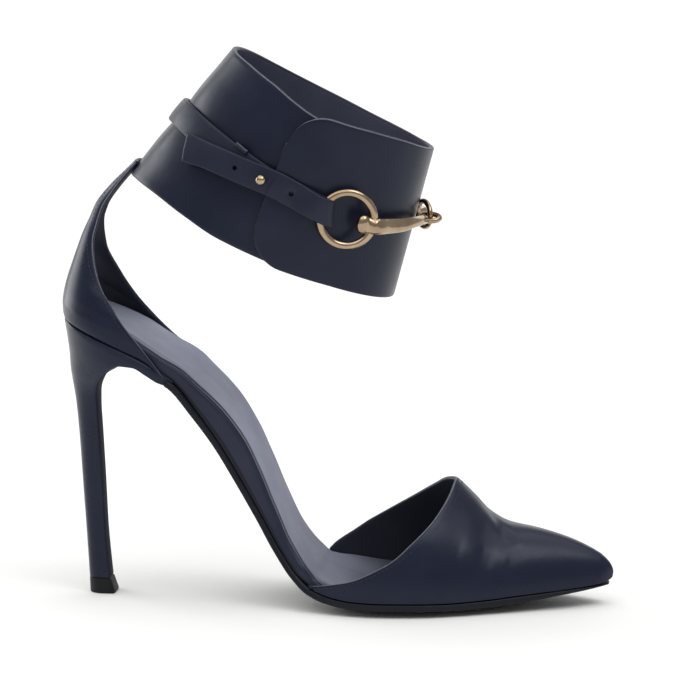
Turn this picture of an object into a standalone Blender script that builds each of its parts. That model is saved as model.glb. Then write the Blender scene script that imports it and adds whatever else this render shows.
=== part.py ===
"""Pointed high-heel pump with open sides and a cinched ankle cuff (right shoe).

Sizes are in millimetres and become metres where meshes are made. +X runs to the
toe, +Z up, and the outer side of the foot, with the closing strap, lies at -Y.
"""

import math

import bmesh
import bpy
import numpy as np
from mathutils import Matrix, Vector

MM = 0.001
NAME = "cuff_pump"

# Layers of the bottom, measured up from the outsole's tread along its normal.
OUTSOLE_THICK = 2.7
FIT = 0.3
INSOLE_THICK = 2.2
BREAST_X = -65.0
BOARD_START = -89.0
BOARD_FRONT = 18.0
BOARD_STATIONS = 25
INSOLE_FRONT = 88.0
INSOLE_STATIONS = 9
SOLE_STATIONS = 30
SOLE_ACROSS = 7
TOE_START = 95.0
TOE_SHARES = (0.3, 0.55, 0.75, 0.9, 0.97, 1.0)
SEAT_SHARES = (0.01, 0.05, 0.13, 0.25, 0.42, 0.65)
TREAD_FLAT = 0.45

# Walls of the upper and of the cuff.
WALL = 1.8
CUFF_WALL = 2.2
FEATHER = 0.8

# Heel.
SEAT_BACK = -113.0
SEAT_ROUND = 26.0
SEAT_LEAN = 0.41
INNER_BACK = 3.7
SEAT_FRONT = -66.0
HEEL_HALF_POINTS = 12
BREAST_POINTS = 41
LIFT_TOP = 6.3

# Cuff, straps and bit.
CUFF_INNER_END = -128.0
CUFF_OUTER_END = 274.3
CUFF_STEP = 6.5
CUFF_ROWS = 6
CORNER_DEGREES = 19.0
CORNER_RISE = 0.2
FLAP_DROP = 0.022
FLAP_TURN = 40.0
LAP_START = 150.0
LAP_FULL = 212.0
STRAP_THICK = 2.0
STRAP_WIDTH = 10.8
STRAP_ACROSS = 5
LOOP_DEGREES = 7.0
LOOP_RAMP = 3.0
LOOP_END = 110.3
LOOP_START = 98.8
BACK_END = -83.4
CLOSING_END = -40.0
LOOP_THICK = 6.3
STUD_ANGLE = -80.3
HOLE_PITCH = 15.5
HOLE_RADIUS = 1.35
STUD_BALL = 2.1
STUD_STEM = 1.0
RING_RADIUS = 10.6
RING_WIRE = 1.6
RING_ANGLE = 120.3
RING_FACE = 107.0
RING_RISE = 0.457
RING_LIFT = 4.4
EYE_RADIUS = 2.8
EYE_WIRE = 1.1
EYE_X = 37.2
EYE_Z = 158.5


def table(names, *rows):
    """Return named columns from rows of numbers."""
    return dict(zip(names.split(), np.array(rows, dtype=float).T))


# Tread of the outsole in side view, with the lift of its edges.
TREAD = table(
    "x z edge",
    (-122.0, 115.08, 0.0),
    (-113.0, 111.0, 0.0),
    (-100.0, 105.1, 0.0),
    (-87.0, 99.2, 0.0),
    (-74.0, 93.3, 0.0),
    (-66.0, 88.9, 0.0),
    (-57.0, 78.0, 0.0),
    (-48.0, 65.3, 0.2),
    (-40.0, 51.8, 0.4),
    (-31.5, 37.0, 0.6),
    (-23.3, 22.6, 0.8),
    (-15.8, 11.8, 1.2),
    (-9.0, 5.6, 1.8),
    (0.0, 2.0, 2.4),
    (10.0, 0.4, 2.8),
    (20.0, 0.0, 3.0),
    (45.0, 0.0, 2.8),
    (60.0, 0.9, 2.2),
    (75.0, 2.6, 1.5),
    (98.0, 6.2, 0.7),
    (112.8, 9.0, 0.2),
)

# Half widths of the bottom on the outer and on the inner side of the foot.
OUTLINE = table(
    "x outer inner",
    (-122.0, 25.6, 25.2),
    (-78.0, 25.6, 25.2),
    (-66.0, 25.2, 24.2),
    (-57.0, 24.2, 22.8),
    (-48.0, 23.0, 21.5),
    (-40.0, 22.5, 21.0),
    (-31.0, 23.0, 20.6),
    (-23.0, 25.0, 21.8),
    (-16.0, 27.5, 24.6),
    (-9.0, 31.0, 28.4),
    (0.0, 34.5, 33.4),
    (10.0, 37.0, 37.5),
    (20.0, 38.0, 38.5),
    (35.0, 36.5, 38.0),
    (50.0, 32.0, 35.0),
    (65.0, 25.5, 29.5),
    (80.0, 18.5, 22.5),
    (95.0, 11.3, 14.6),
    (105.0, 6.3, 9.2),
    (110.0, 3.4, 6.2),
    (112.8, 0.6, 3.4),
)

# How far board and insole stand back from that outline, and the board's top.
INNER_LAYERS = table(
    "x outer inner top",
    (-122.0, 2.9, 2.9, 8.4),
    (-64.0, 2.9, 3.5, 8.6),
    (-56.0, 0.4, 3.5, 9.4),
    (-48.0, 0.2, 0.3, 10.2),
    (-40.0, 0.2, 0.2, 9.2),
    (-31.0, 0.2, 0.2, 7.0),
    (-23.0, 0.2, 0.2, 5.8),
    (-17.0, 0.2, 0.2, 5.9),
    (-10.0, 3.2, 3.2, 6.0),
    (0.0, 3.3, 3.3, 5.8),
    (18.0, 3.4, 3.4, 4.0),
    (88.0, 3.6, 3.6, 3.0),
)

# Ridge of the vamp in side view, its sideways place and how tent-like it is.
RIDGE = table(
    "x z y tent",
    (-12.0, 70.0, 0.0, 1.3),
    (10.0, 68.0, 0.0, 1.4),
    (30.0, 62.0, 0.0, 1.5),
    (42.0, 55.5, 0.5, 1.5),
    (48.9, 50.5, 1.0, 1.5),
    (55.9, 43.0, 1.4, 1.35),
    (61.2, 36.2, 1.7, 1.2),
    (69.4, 31.2, 2.1, 1.05),
    (81.1, 29.2, 2.3, 1.0),
    (93.7, 26.2, 2.0, 1.0),
    (106.0, 20.8, 1.6, 0.95),
    (110.4, 17.0, 1.45, 0.95),
    (112.8, 14.2, 1.4, 0.95),
)

# Edge of the vamp's mouth from each wing tip to the peak.
MOUTH_OUTER = table(
    "x z",
    (-5.0, 0.0),
    (-4.2, 9.4),
    (-1.0, 11.8),
    (9.6, 14.3),
    (18.0, 18.0),
    (26.0, 22.4),
    (33.4, 28.7),
    (42.5, 38.0),
    (47.3, 45.8),
    (48.9, 50.5),
)
MOUTH_INNER = table(
    "x z",
    (-9.0, 0.0),
    (-8.4, 13.0),
    (-6.0, 16.2),
    (2.0, 21.2),
    (10.0, 26.2),
    (18.0, 31.0),
    (28.0, 37.4),
    (37.5, 44.0),
    (44.4, 49.0),
    (48.9, 50.5),
)
VAMP_TIP = 112.8
VAMP_STATIONS = 24
VAMP_INNER_STATIONS = 20
VAMP_CROWD = 0.35
VAMP_TURN = 1.5

# Counter: level lines from the back to the outer and the inner edge.
COUNTER = table(
    "back_x back_z outer_x outer_z outer_y outer_round inner_x inner_z inner_y inner_round taper",
    (-111.8, 113.8, -67.0, 93.6, 25.2, 0.58, -57.0, 89.0, 23.2, 0.48, 2.0),
    (-112.5, 117.0, -71.5, 99.2, 25.2, 0.62, -59.5, 94.2, 23.3, 0.50, 1.9),
    (-112.7, 121.0, -78.0, 106.5, 25.2, 0.75, -65.5, 99.2, 24.0, 0.56, 1.2),
    (-112.1, 125.5, -84.5, 114.5, 24.8, 0.95, -73.0, 105.5, 24.3, 0.68, 0.8),
    (-110.7, 131.0, -89.6, 122.2, 22.6, 1.10, -80.5, 113.2, 23.6, 0.85, 0.2),
    (-109.0, 136.0, -94.6, 129.4, 19.0, 1.30, -87.0, 121.5, 21.0, 1.10, 0.0),
    (-106.9, 142.0, -97.9, 138.3, 14.6, 1.60, -92.6, 131.5, 17.0, 1.40, 0.0),
    (-104.3, 149.0, -99.3, 146.8, 10.4, 2.00, -97.0, 143.6, 11.4, 1.80, 0.0),
    (-101.5, 155.0, -98.2, 153.2, 8.2, 2.40, -97.8, 152.6, 8.4, 2.20, 0.0),
    (-98.2, 161.2, -95.8, 159.7, 7.2, 2.60, -95.8, 159.7, 7.2, 2.60, 0.0),
    (-91.6, 168.8, -90.1, 167.7, 6.8, 2.80, -90.1, 167.7, 6.8, 2.80, 0.0),
    (-84.2, 174.6, -83.5, 174.3, 6.8, 3.00, -83.5, 174.3, 6.8, 3.00, 0.0),
    (-81.3, 178.1, -80.6, 177.8, 6.8, 3.00, -80.6, 177.8, 6.8, 3.00, 0.0),
)
COUNTER_HALF_POINTS = 9
COUNTER_CROWD = 1.7

# Heel block before its breast is cut: tilted levels from the seat down.
HEEL = table(
    "back_x back_z front_z half",
    (-111.9, 113.4, 91.6, 25.2),
    (-110.3, 107.0, 88.2, 23.6),
    (-109.3, 100.0, 85.0, 20.5),
    (-109.1, 94.0, 82.0, 16.5),
    (-108.5, 89.0, 79.0, 12.8),
    (-107.8, 84.0, 76.0, 10.2),
    (-107.0, 76.0, 71.0, 8.2),
    (-106.3, 62.0, 60.0, 6.8),
    (-105.3, 45.0, 45.0, 5.8),
    (-104.0, 25.0, 25.0, 5.2),
    (-102.9, 6.6, 6.6, 5.2),
)
BREAST = table(
    "x z",
    (-55.0, 76.0),
    (-66.0, 88.4),
    (-73.6, 91.6),
    (-80.0, 94.8),
    (-85.5, 95.8),
    (-91.0, 94.2),
    (-96.0, 89.4),
    (-97.6, 82.9),
    (-97.4, 69.0),
    (-96.4, 48.0),
    (-95.6, 27.6),
    (-94.2, 12.6),
    (-93.6, -10.0),
)
LIFT = table(
    "z back front half",
    (0.0, -102.7, -91.6, 5.7),
    (LIFT_TOP, -102.9, -93.4, 5.2),
)

# Cuff: back and front of its lower and upper rim, half width and sag of the sides.
CUFF = table(
    "rise back_x back_z front_x front_z half outer_sag inner_sag",
    (0.0, -82.4, 173.4, 21.7, 126.1, 42.0, 2.2, 2.5),
    (1.0, -40.8, 224.5, 37.6, 186.6, 40.0, 5.0, 7.5),
)
CLOSING_PATH = table(
    "angle rise",
    (-111.3, 0.458),
    (-102.0, 0.468),
    (-97.0, 0.474),
    (-76.0, 0.470),
    (-58.5, 0.444),
    (-40.0, 0.398),
)
BACK_PATH = table(
    "angle rise",
    (-83.4, 0.474),
    (-66.0, 0.496),
    (-50.0, 0.510),
    (-30.0, 0.515),
    (0.0, 0.487),
    (40.0, 0.450),
    (80.0, 0.470),
    (102.0, 0.468),
    (111.3, 0.458),
)
# Bar of a bit half from its knob to its eye: half height and half thickness.
BAR = table(
    "angle rise tall thick lift",
    (128.5, 0.442, 2.9, 2.5, 7.6),
    (132.0, 0.446, 3.9, 2.9, 7.9),
    (136.0, 0.450, 3.6, 2.3, 7.4),
    (143.0, 0.462, 3.2, 1.9, 6.2),
    (153.0, 0.486, 2.5, 1.7, 4.9),
    (163.0, 0.510, 1.9, 1.5, 4.3),
)


def smooth(keys, values, at):
    """Shape-keeping cubic through keyed values."""
    keys = np.asarray(keys)
    values = np.asarray(values)
    at = np.clip(np.asarray(at, dtype=float), keys[0], keys[-1])
    gap = np.diff(keys)
    rate = np.diff(values) / gap
    slope = np.zeros(len(keys))
    slope[0] = rate[0]
    slope[-1] = rate[-1]
    for i in range(1, len(keys) - 1):
        if rate[i - 1] * rate[i] > 0.0:
            left = 2.0 * gap[i] + gap[i - 1]
            right = gap[i] + 2.0 * gap[i - 1]
            slope[i] = (left + right) / (left / rate[i - 1] + right / rate[i])
    i = np.clip(np.searchsorted(keys, at, side="right") - 1, 0, len(gap) - 1)
    u = (at - keys[i]) / gap[i]
    start = (1.0 + 2.0 * u) * (1.0 - u) ** 2 * values[i] + u * (1.0 - u) ** 2 * gap[i] * slope[i]
    end = u * u * (3.0 - 2.0 * u) * values[i + 1] - u * u * (1.0 - u) * gap[i] * slope[i + 1]
    return start + end


def column(columns, name, at, key="x"):
    """Read one column of a table at a key value."""
    return float(smooth(columns[key], columns[name], at))


def material(name, colour, roughness, metallic=0.0):
    """Make a plain material."""
    made = bpy.data.materials.new(name)
    made.use_nodes = True
    shader = made.node_tree.nodes["Principled BSDF"]
    shader.inputs["Base Color"].default_value = (*colour, 1.0)
    shader.inputs["Roughness"].default_value = roughness
    shader.inputs["Metallic"].default_value = metallic
    return made


def new_object(name, points, faces, collection, skin=None):
    """Make a mesh object from points in millimetres, faces turned outward."""
    mesh = bpy.data.meshes.new(name)
    mesh.from_pydata([tuple(float(c) * MM for c in p) for p in points], [], faces)
    work = bmesh.new()
    work.from_mesh(mesh)
    bmesh.ops.recalc_face_normals(work, faces=work.faces)
    bmesh.ops.triangulate(work, faces=work.faces)
    work.to_mesh(mesh)
    work.free()
    made = bpy.data.objects.new(name, mesh)
    collection.objects.link(made)
    if skin:
        mesh.materials.append(skin)
    return made


def grid_faces(rows, cols, start):
    """Quads of a rows by cols grid of points."""
    faces = []
    for i in range(rows - 1):
        for j in range(cols - 1):
            a = start + i * cols + j
            faces.append((a, a + 1, a + cols + 1, a + cols))
    return faces


def sheet_solid(name, face_a, face_b, collection, skin):
    """Close the space between two grids of the same size with four rims."""
    rows, cols = face_a.shape[:2]
    count = rows * cols
    points = np.concatenate([face_a.reshape(-1, 3), face_b.reshape(-1, 3)])
    faces = grid_faces(rows, cols, 0) + grid_faces(rows, cols, count)
    rim = [j for j in range(cols)]
    rim += [i * cols + cols - 1 for i in range(1, rows)]
    rim += [(rows - 1) * cols + j for j in range(cols - 2, -1, -1)]
    rim += [i * cols for i in range(rows - 2, 0, -1)]
    for a, b in zip(rim, rim[1:] + rim[:1]):
        faces.append((a, b, b + count, a + count))
    return new_object(name, points, faces, collection, skin)


def ring_loft(name, rings, collection, skin):
    """Loft closed rings of equal count and cap both ends."""
    count = len(rings[0])
    points = np.concatenate([np.asarray(r, dtype=float) for r in rings])
    faces = []
    for i in range(len(rings) - 1):
        for j in range(count):
            k = (j + 1) % count
            faces.append((i * count + j, i * count + k, (i + 1) * count + k, (i + 1) * count + j))
    faces.append(tuple(range(count)))
    faces.append(tuple((len(rings) - 1) * count + j for j in range(count)))
    return new_object(name, points, faces, collection, skin)


def offset(grid, distance):
    """Move a grid along its own normals."""
    along = np.gradient(grid, axis=0)
    across = np.gradient(grid, axis=1)
    normal = np.cross(along, across)
    normal /= np.linalg.norm(normal, axis=2, keepdims=True)
    return grid + normal * distance


def boolean(target, cutter, operation):
    """Apply an exact boolean to the target's mesh."""
    tool = target.modifiers.new("boolean", "BOOLEAN")
    tool.operation = operation
    tool.solver = "EXACT"
    tool.object = cutter
    view = bpy.context.evaluated_depsgraph_get()
    result = bpy.data.meshes.new_from_object(target.evaluated_get(view))
    target.modifiers.remove(tool)
    target.data = result
    work = bmesh.new()
    work.from_mesh(result)
    bmesh.ops.triangulate(work, faces=work.faces)
    bmesh.ops.remove_doubles(work, verts=work.verts, dist=0.00001)
    bmesh.ops.dissolve_degenerate(work, edges=work.edges, dist=0.000005)
    work.to_mesh(result)
    work.free()


def board_point(x, y, height, half):
    """Point over the tread at a station, a sideways place and a height."""
    step = 0.5
    z = column(TREAD, "z", x)
    front = min(x + step, VAMP_TIP)
    rise = column(TREAD, "z", front) - column(TREAD, "z", x - step)
    run = front - x + step
    length = math.hypot(rise, run)
    reach = min(abs(y) / max(half, 1.0), 1.0)
    lift = column(TREAD, "edge", x) * (max(reach - TREAD_FLAT, 0.0) / (1.0 - TREAD_FLAT)) ** 2
    return (x - rise / length * height, y, z + run / length * height + lift)


def half_width(x, side, inset=0.0):
    """Half width of the bottom on one side, rounded at the back of the seat."""
    back = SEAT_BACK + (INNER_BACK if inset > 0.0 else 0.0)
    reach = min(max((x - back) / SEAT_ROUND, 0.0), 1.0)
    return (column(OUTLINE, side, x) - inset) * math.sqrt(1.0 - (1.0 - reach) ** 2)


def bottom_layer(name, stations, low, high, inset, collection, skin):
    """Slab of the bottom between two heights, with its own inset on each side."""
    across = np.linspace(-1.0, 1.0, SOLE_ACROSS)
    grids = []
    for height in (low, high):
        rows = []
        for x in stations:
            seat = min(max((SEAT_FRONT - x) / SEAT_ROUND, 0.0), 1.0)
            place_x = x - SEAT_LEAN * height(x) * seat
            row = []
            for w in across:
                side = "outer" if w < 0.0 else "inner"
                half = half_width(x, side, inset(x, side))
                row.append(board_point(place_x, w * half, height(x), column(OUTLINE, side, x)))
            rows.append(row)
        grids.append(np.array(rows))
    return sheet_solid(name, grids[0], grids[1], collection, skin)


def inner_inset(x, side):
    """How far the inner layers stand back from the outline."""
    return column(INNER_LAYERS, side, x)


def board_top(x):
    """Height of the board's upper face."""
    return column(INNER_LAYERS, "top", x)


def build_bottom(parts, skins):
    """Outsole, waist rand and insole."""
    toe = TOE_START + (VAMP_TIP - TOE_START) * np.array(TOE_SHARES)
    sole_x = np.concatenate([np.linspace(BREAST_X, TOE_START, SOLE_STATIONS), toe])
    bottom_layer("outsole", sole_x, lambda x: 0.0, lambda x: OUTSOLE_THICK,
                 lambda x, side: 0.0, parts, skins["sole"])
    back = SEAT_BACK + INNER_BACK + SEAT_ROUND * np.array(SEAT_SHARES)
    board_x = np.concatenate([back, np.linspace(BOARD_START, BOARD_FRONT, BOARD_STATIONS)])
    floor = OUTSOLE_THICK + FIT
    bottom_layer("waist_rand", board_x, lambda x: floor, board_top, inner_inset, parts, skins["upper"])
    insole_x = np.concatenate([board_x, np.linspace(BOARD_FRONT, INSOLE_FRONT, INSOLE_STATIONS)[1:]])
    bottom_layer("insole", insole_x, lambda x: max(board_top(x), floor) + FIT,
                 lambda x: max(board_top(x), floor) + FIT + INSOLE_THICK, inner_inset, parts, skins["insole"])


def vamp_point(x, angle, side):
    """Point of the vamp's outer face at a station and an angle up from its base."""
    sign = -1.0 if side == "outer" else 1.0
    half = max(column(OUTLINE, side, x) - FEATHER, 0.4)
    base = board_point(x, sign * half, OUTSOLE_THICK + FIT, half)
    ridge_y = column(RIDGE, "y", x)
    ridge_z = column(RIDGE, "z", x)
    tent = column(RIDGE, "tent", x)
    y = ridge_y + (base[1] - ridge_y) * max(math.cos(angle), 0.0) ** tent
    lean = (base[0] - x) * (1.0 - math.sin(angle))
    return (x + lean, y, base[2] + (ridge_z - base[2]) * math.sin(angle))


def mouth_angle(x, z, side):
    """Angle on the vamp's section at which a height is reached."""
    low = vamp_point(x, 0.0, side)[2]
    high = column(RIDGE, "z", x)
    return math.asin(min(max((z - low) / (high - low), 0.0), 1.0))


def build_vamp(parts, skin):
    """Hollow toe upper, open at its mouth and underneath."""
    strakes = []
    for side, mouth in (("outer", MOUTH_OUTER), ("inner", MOUTH_INNER)):
        rows = list(zip(mouth["x"], mouth["z"]))
        marks = [(x, mouth_angle(x, z, side)) for x, z in rows]
        count = len(marks) - 1
        lines = [(side, x, angle, 0.5 * math.pi * k / count) for k, (x, angle) in enumerate(marks)]
        strakes += lines if side == "outer" else lines[-2::-1]
    spread = np.linspace(0.0, 1.0, VAMP_STATIONS)
    spread = spread + VAMP_CROWD * spread * (1.0 - spread)
    outer = np.zeros((VAMP_STATIONS, len(strakes), 3))
    for j, (side, start, angle, toe_angle) in enumerate(strakes):
        for i, u in enumerate(spread):
            turn = min(u * VAMP_TURN, 1.0)
            turn = turn * turn * (3.0 - 2.0 * turn)
            outer[i, j] = vamp_point(start + (VAMP_TIP - start) * u,
                                     angle + (toe_angle - angle) * turn, side)
    inner = offset(outer, -WALL)[:VAMP_INNER_STATIONS]
    centre = outer.mean(axis=1, keepdims=True)[:VAMP_INNER_STATIONS]
    if np.linalg.norm(inner - centre, axis=2).mean() > np.linalg.norm(
            outer[:VAMP_INNER_STATIONS] - centre, axis=2).mean():
        inner = offset(outer, WALL)[:VAMP_INNER_STATIONS]
    for edge in (0, -1):
        inner[:, edge, 2] = outer[:VAMP_INNER_STATIONS, edge, 2]
    rows, cols = outer.shape[:2]
    held = VAMP_INNER_STATIONS
    start = rows * cols
    points = np.concatenate([outer.reshape(-1, 3), inner.reshape(-1, 3)])
    faces = grid_faces(rows, cols, 0) + grid_faces(held, cols, start)
    last = cols - 1
    for j in range(last):
        faces.append((j, j + 1, start + j + 1, start + j))
    for j in (0, last):
        for i in range(held - 1):
            faces.append((i * cols + j, (i + 1) * cols + j, start + (i + 1) * cols + j, start + i * cols + j))
    end = held - 1
    faces.append((end * cols, held * cols, held * cols + last, end * cols + last,
                  start + end * cols + last, start + end * cols))
    for i in range(held, rows - 1):
        faces.append((i * cols, (i + 1) * cols, (i + 1) * cols + last, i * cols + last))
    faces.append(tuple((rows - 1) * cols + j for j in range(cols)))
    faces.append(tuple(start + end * cols + j for j in range(cols)))
    return new_object("vamp", points, faces, parts, skin)


def build_counter(parts, skin):
    """Hollow heel upper whose strap climbs to the cuff."""
    share = np.linspace(0.0, 1.0, COUNTER_HALF_POINTS) ** COUNTER_CROWD
    levels = len(COUNTER["back_x"])
    fine = np.linspace(0.0, levels - 1.0, 2 * levels - 1)
    rows = []
    for level in fine:
        row = {name: float(smooth(np.arange(levels), values, level)) for name, values in COUNTER.items()}
        arc = {}
        for side, sign in (("outer", -1.0), ("inner", 1.0)):
            bend = row[side + "_round"]
            full = math.sqrt(1.0 - max(1.0 - 1.0 / bend, 0.0) ** 2) if bend > 1.0 else 1.0
            arc[side] = []
            for d in share:
                wide = math.sqrt(1.0 - (1.0 - min(d / bend, 1.0)) ** 2) / full
                fuller = row["taper"] * min((1.0 - d) / (1.0 - min(bend, 0.9)), 1.0) if sign > 0.0 else 0.0
                arc[side].append((row["back_x"] + d * (row[side + "_x"] - row["back_x"]),
                                  sign * wide * (row[side + "_y"] + fuller),
                                  row["back_z"] + d * (row[side + "_z"] - row["back_z"])))
        rows.append(arc["outer"][::-1] + arc["inner"][1:])
    outer = np.array(rows)
    inward = offset(outer, WALL)
    if inward[0, COUNTER_HALF_POINTS - 1, 0] < outer[0, COUNTER_HALF_POINTS - 1, 0]:
        inward = offset(outer, -WALL)
    return sheet_solid("counter", outer, inward, parts, skin)


def d_ring(back, front, half, z_back, z_front):
    """Ring with a round back and a square front."""
    reach = front - back
    bend = min(half, 0.9 * reach)
    share = np.concatenate([1.0 - np.cos(np.linspace(0.0, 0.5 * math.pi, HEEL_HALF_POINTS - 3)),
                            np.linspace(1.0, reach / bend, 4)[1:]])
    side = []
    for d in share:
        wide = half * math.sqrt(1.0 - (1.0 - min(d, 1.0)) ** 2)
        run = d * bend / reach
        side.append((back + run * reach, wide, z_back + run * (z_front - z_back)))
    return [(x, -y, z) for x, y, z in side[::-1]] + side[1:]


def build_heel(parts, tools, skins):
    """Stiletto with a cut breast, and the wear pad under it."""
    rings = []
    for x, z, front_z, half in zip(*HEEL.values()):
        rings.append(d_ring(x, BREAST_X - FIT, half, z, front_z))
    heel = ring_loft("heel", rings, parts, skins["upper"])
    reach = 40.0
    knots = np.arange(len(BREAST["x"]))
    fine = np.linspace(0.0, knots[-1], BREAST_POINTS)
    arch = [(float(smooth(knots, BREAST["x"], k)), float(smooth(knots, BREAST["z"], k))) for k in fine]
    arch += [(-20.0, -10.0), (-20.0, 40.0)]
    cutter = ring_loft("breast_cutter", [[(x, y, z) for x, z in arch] for y in (-reach, reach)], tools, None)
    boolean(heel, cutter, "DIFFERENCE")
    pads = []
    for z, back, front, half in zip(*LIFT.values()):
        pads.append(d_ring(back, front, half, z, z))
    ring_loft("top_lift", pads, parts, skins["lift"])


def cuff_base(angle, rise):
    """Point of the cuff's bare inner layer; angle 0 at the back, -90 on the outer side."""
    row = {name: values[0] + (values[1] - values[0]) * rise for name, values in CUFF.items()}
    turn = math.radians(angle)
    back = np.array([row["back_x"], 0.0, row["back_z"]])
    front = np.array([row["front_x"], 0.0, row["front_z"]])
    point = 0.5 * (back + front) + 0.5 * (back - front) * math.cos(turn)
    point[1] = row["half"] * math.sin(turn)
    sag = row["outer_sag"] if point[1] < 0.0 else row["inner_sag"]
    point[2] -= sag * math.sin(turn) ** 2
    return point


def cuff_normal(angle, rise):
    """Outward normal of the cuff."""
    around = cuff_base(angle + 1.0, rise) - cuff_base(angle - 1.0, rise)
    upward = cuff_base(angle, rise + 0.05) - cuff_base(angle, rise - 0.05)
    normal = np.cross(around, upward)
    normal /= np.linalg.norm(normal)
    return normal if normal @ (cuff_base(angle, rise) - cuff_base(angle + 180.0, rise)) > 0.0 else -normal


def lap(angle):
    """Outward shift of the cuff where its end lies over its beginning."""
    u = min(max((angle - LAP_START) / (LAP_FULL - LAP_START), 0.0), 1.0)
    return (CUFF_WALL + FIT + 0.1) * u * u * (3.0 - 2.0 * u)


def outside(angle):
    """Height of the cuff's outermost face over its bare layer, for the shown turn."""
    wrapped = angle + 360.0 if angle + 360.0 <= CUFF_OUTER_END else angle
    return lap(wrapped)


def cuff_point(angle, rise, lift):
    """Point at a height over the cuff's bare layer."""
    return cuff_base(angle, rise) + cuff_normal(angle, rise) * lift


def build_cuff(parts, skin):
    """Wide band whose round-cornered end laps over its beginning."""
    count = int((CUFF_OUTER_END - CUFF_INNER_END) / CUFF_STEP)
    ends = CORNER_DEGREES * (1.0 - np.cos(np.radians((0.0, 22.5, 45.0, 67.5, 90.0))))
    angles = np.concatenate([np.linspace(CUFF_INNER_END, CUFF_OUTER_END - CORNER_DEGREES, count),
                             (CUFF_OUTER_END - ends)[::-1][1:]])
    grids = [[], []]
    for angle in angles:
        left = min((CUFF_OUTER_END - angle) / CORNER_DEGREES, 1.0)
        trim = CORNER_RISE * (1.0 - math.sqrt(1.0 - (1.0 - left) ** 2))
        drop = FLAP_DROP * min(max((angle - CUFF_OUTER_END) / FLAP_TURN + 1.0, 0.0), 1.0)
        rises = np.linspace(trim - drop, 1.0 - trim, CUFF_ROWS)
        for grid, lift in zip(grids, (0.0, -CUFF_WALL)):
            grid.append([cuff_point(angle, rise, lap(angle) + lift) for rise in rises])
    return sheet_solid("ankle_cuff", np.array(grids[0]), np.array(grids[1]), parts, skin)


def build_strap(name, path, angles, lift, thick, parts, skin):
    """Flat strap along the cuff; lift and thickness are functions of the angle."""
    grids = [[], []]
    for angle in angles:
        rise = column(path, "rise", angle, "angle")
        wall = np.linalg.norm(cuff_base(angle, 1.0) - cuff_base(angle, 0.0))
        half = 0.5 * STRAP_WIDTH / wall
        for grid, height in zip(grids, (lift(angle), lift(angle) + thick(angle))):
            grid.append([cuff_point(angle, r, height) for r in np.linspace(rise - half, rise + half, STRAP_ACROSS)])
    return sheet_solid(name, np.array(grids[0]), np.array(grids[1]), parts, skin)


def loop_thick(angle):
    """Thickness of a strap, full at the fold that holds its ring."""
    start = -CLOSING_PATH["angle"].min() - LOOP_DEGREES
    u = min(max((abs(angle) - start + LOOP_RAMP) / LOOP_RAMP, 0.0), 1.0)
    return STRAP_THICK + (LOOP_THICK - STRAP_THICK) * u * u * (3.0 - 2.0 * u)


def matrix_from(point, normal, up):
    """Placement whose Z is the normal and whose Y is close to up."""
    z = Vector(normal).normalized()
    x = Vector(up).cross(z).normalized()
    y = z.cross(x)
    turn = Matrix((x, y, z)).transposed().to_4x4()
    return Matrix.Translation(Vector([float(c) * MM for c in point])) @ turn


def place(made, placement):
    """Bake a placement into the mesh."""
    made.data.transform(placement)
    made.data.update()


def torus(name, radius, wire, steps, sides, collection, skin):
    """Wire ring round Z."""
    rings = []
    for i in range(steps):
        a = 2.0 * math.pi * i / steps
        for j in range(sides):
            b = 2.0 * math.pi * j / sides
            reach = radius + wire * math.cos(b)
            rings.append((reach * math.cos(a), reach * math.sin(a), wire * math.sin(b)))
    faces = []
    for i in range(steps):
        for j in range(sides):
            k, m = (i + 1) % steps, (j + 1) % sides
            faces.append((i * sides + j, k * sides + j, k * sides + m, i * sides + m))
    return new_object(name, rings, faces, collection, skin)


def ring_placement(sign):
    """Placement of the ring on one side of the cuff."""
    angle = sign * RING_ANGLE
    point = cuff_point(angle, RING_RISE, outside(angle) + RING_LIFT)
    upward = cuff_base(angle, 1.0) - cuff_base(angle, 0.0)
    return matrix_from(point, cuff_normal(sign * RING_FACE, RING_RISE), upward)


def build_straps(parts, tools, skins):
    """Back strap, closing strap with its holes, and the folds round the rings."""
    under = STRAP_THICK + 2.0 * FIT
    loop = np.linspace(LOOP_START, LOOP_END, 6)
    before = LOOP_START - LOOP_RAMP
    back_angles = np.concatenate([np.linspace(BACK_END, before, 32), loop])
    back = build_strap("back_strap", BACK_PATH, back_angles, lambda a: outside(a) + FIT,
                       lambda a: loop_thick(a) if a > 0.0 else STRAP_THICK, parts, skins["upper"])
    close_angles = np.concatenate([np.linspace(CLOSING_END, -before, 15), -loop])
    closing = build_strap("closing_strap", CLOSING_PATH, close_angles,
                          lambda a: max(outside(a) + FIT, under), loop_thick, parts, skins["upper"])
    for sign, strap in ((-1.0, closing), (1.0, back)):
        room = torus("ring_room", RING_RADIUS, RING_WIRE + FIT, 28, 8, tools, None)
        place(room, ring_placement(sign))
        boolean(strap, room, "DIFFERENCE")
    for step in (-1.0, 0.0, 1.0):
        drill = stud_solid("hole_drill", HOLE_RADIUS, 0.0, STUD_ANGLE + step * HOLE_PITCH, 2.0, 9.0, tools, None)
        boolean(closing, drill, "DIFFERENCE")


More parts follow.
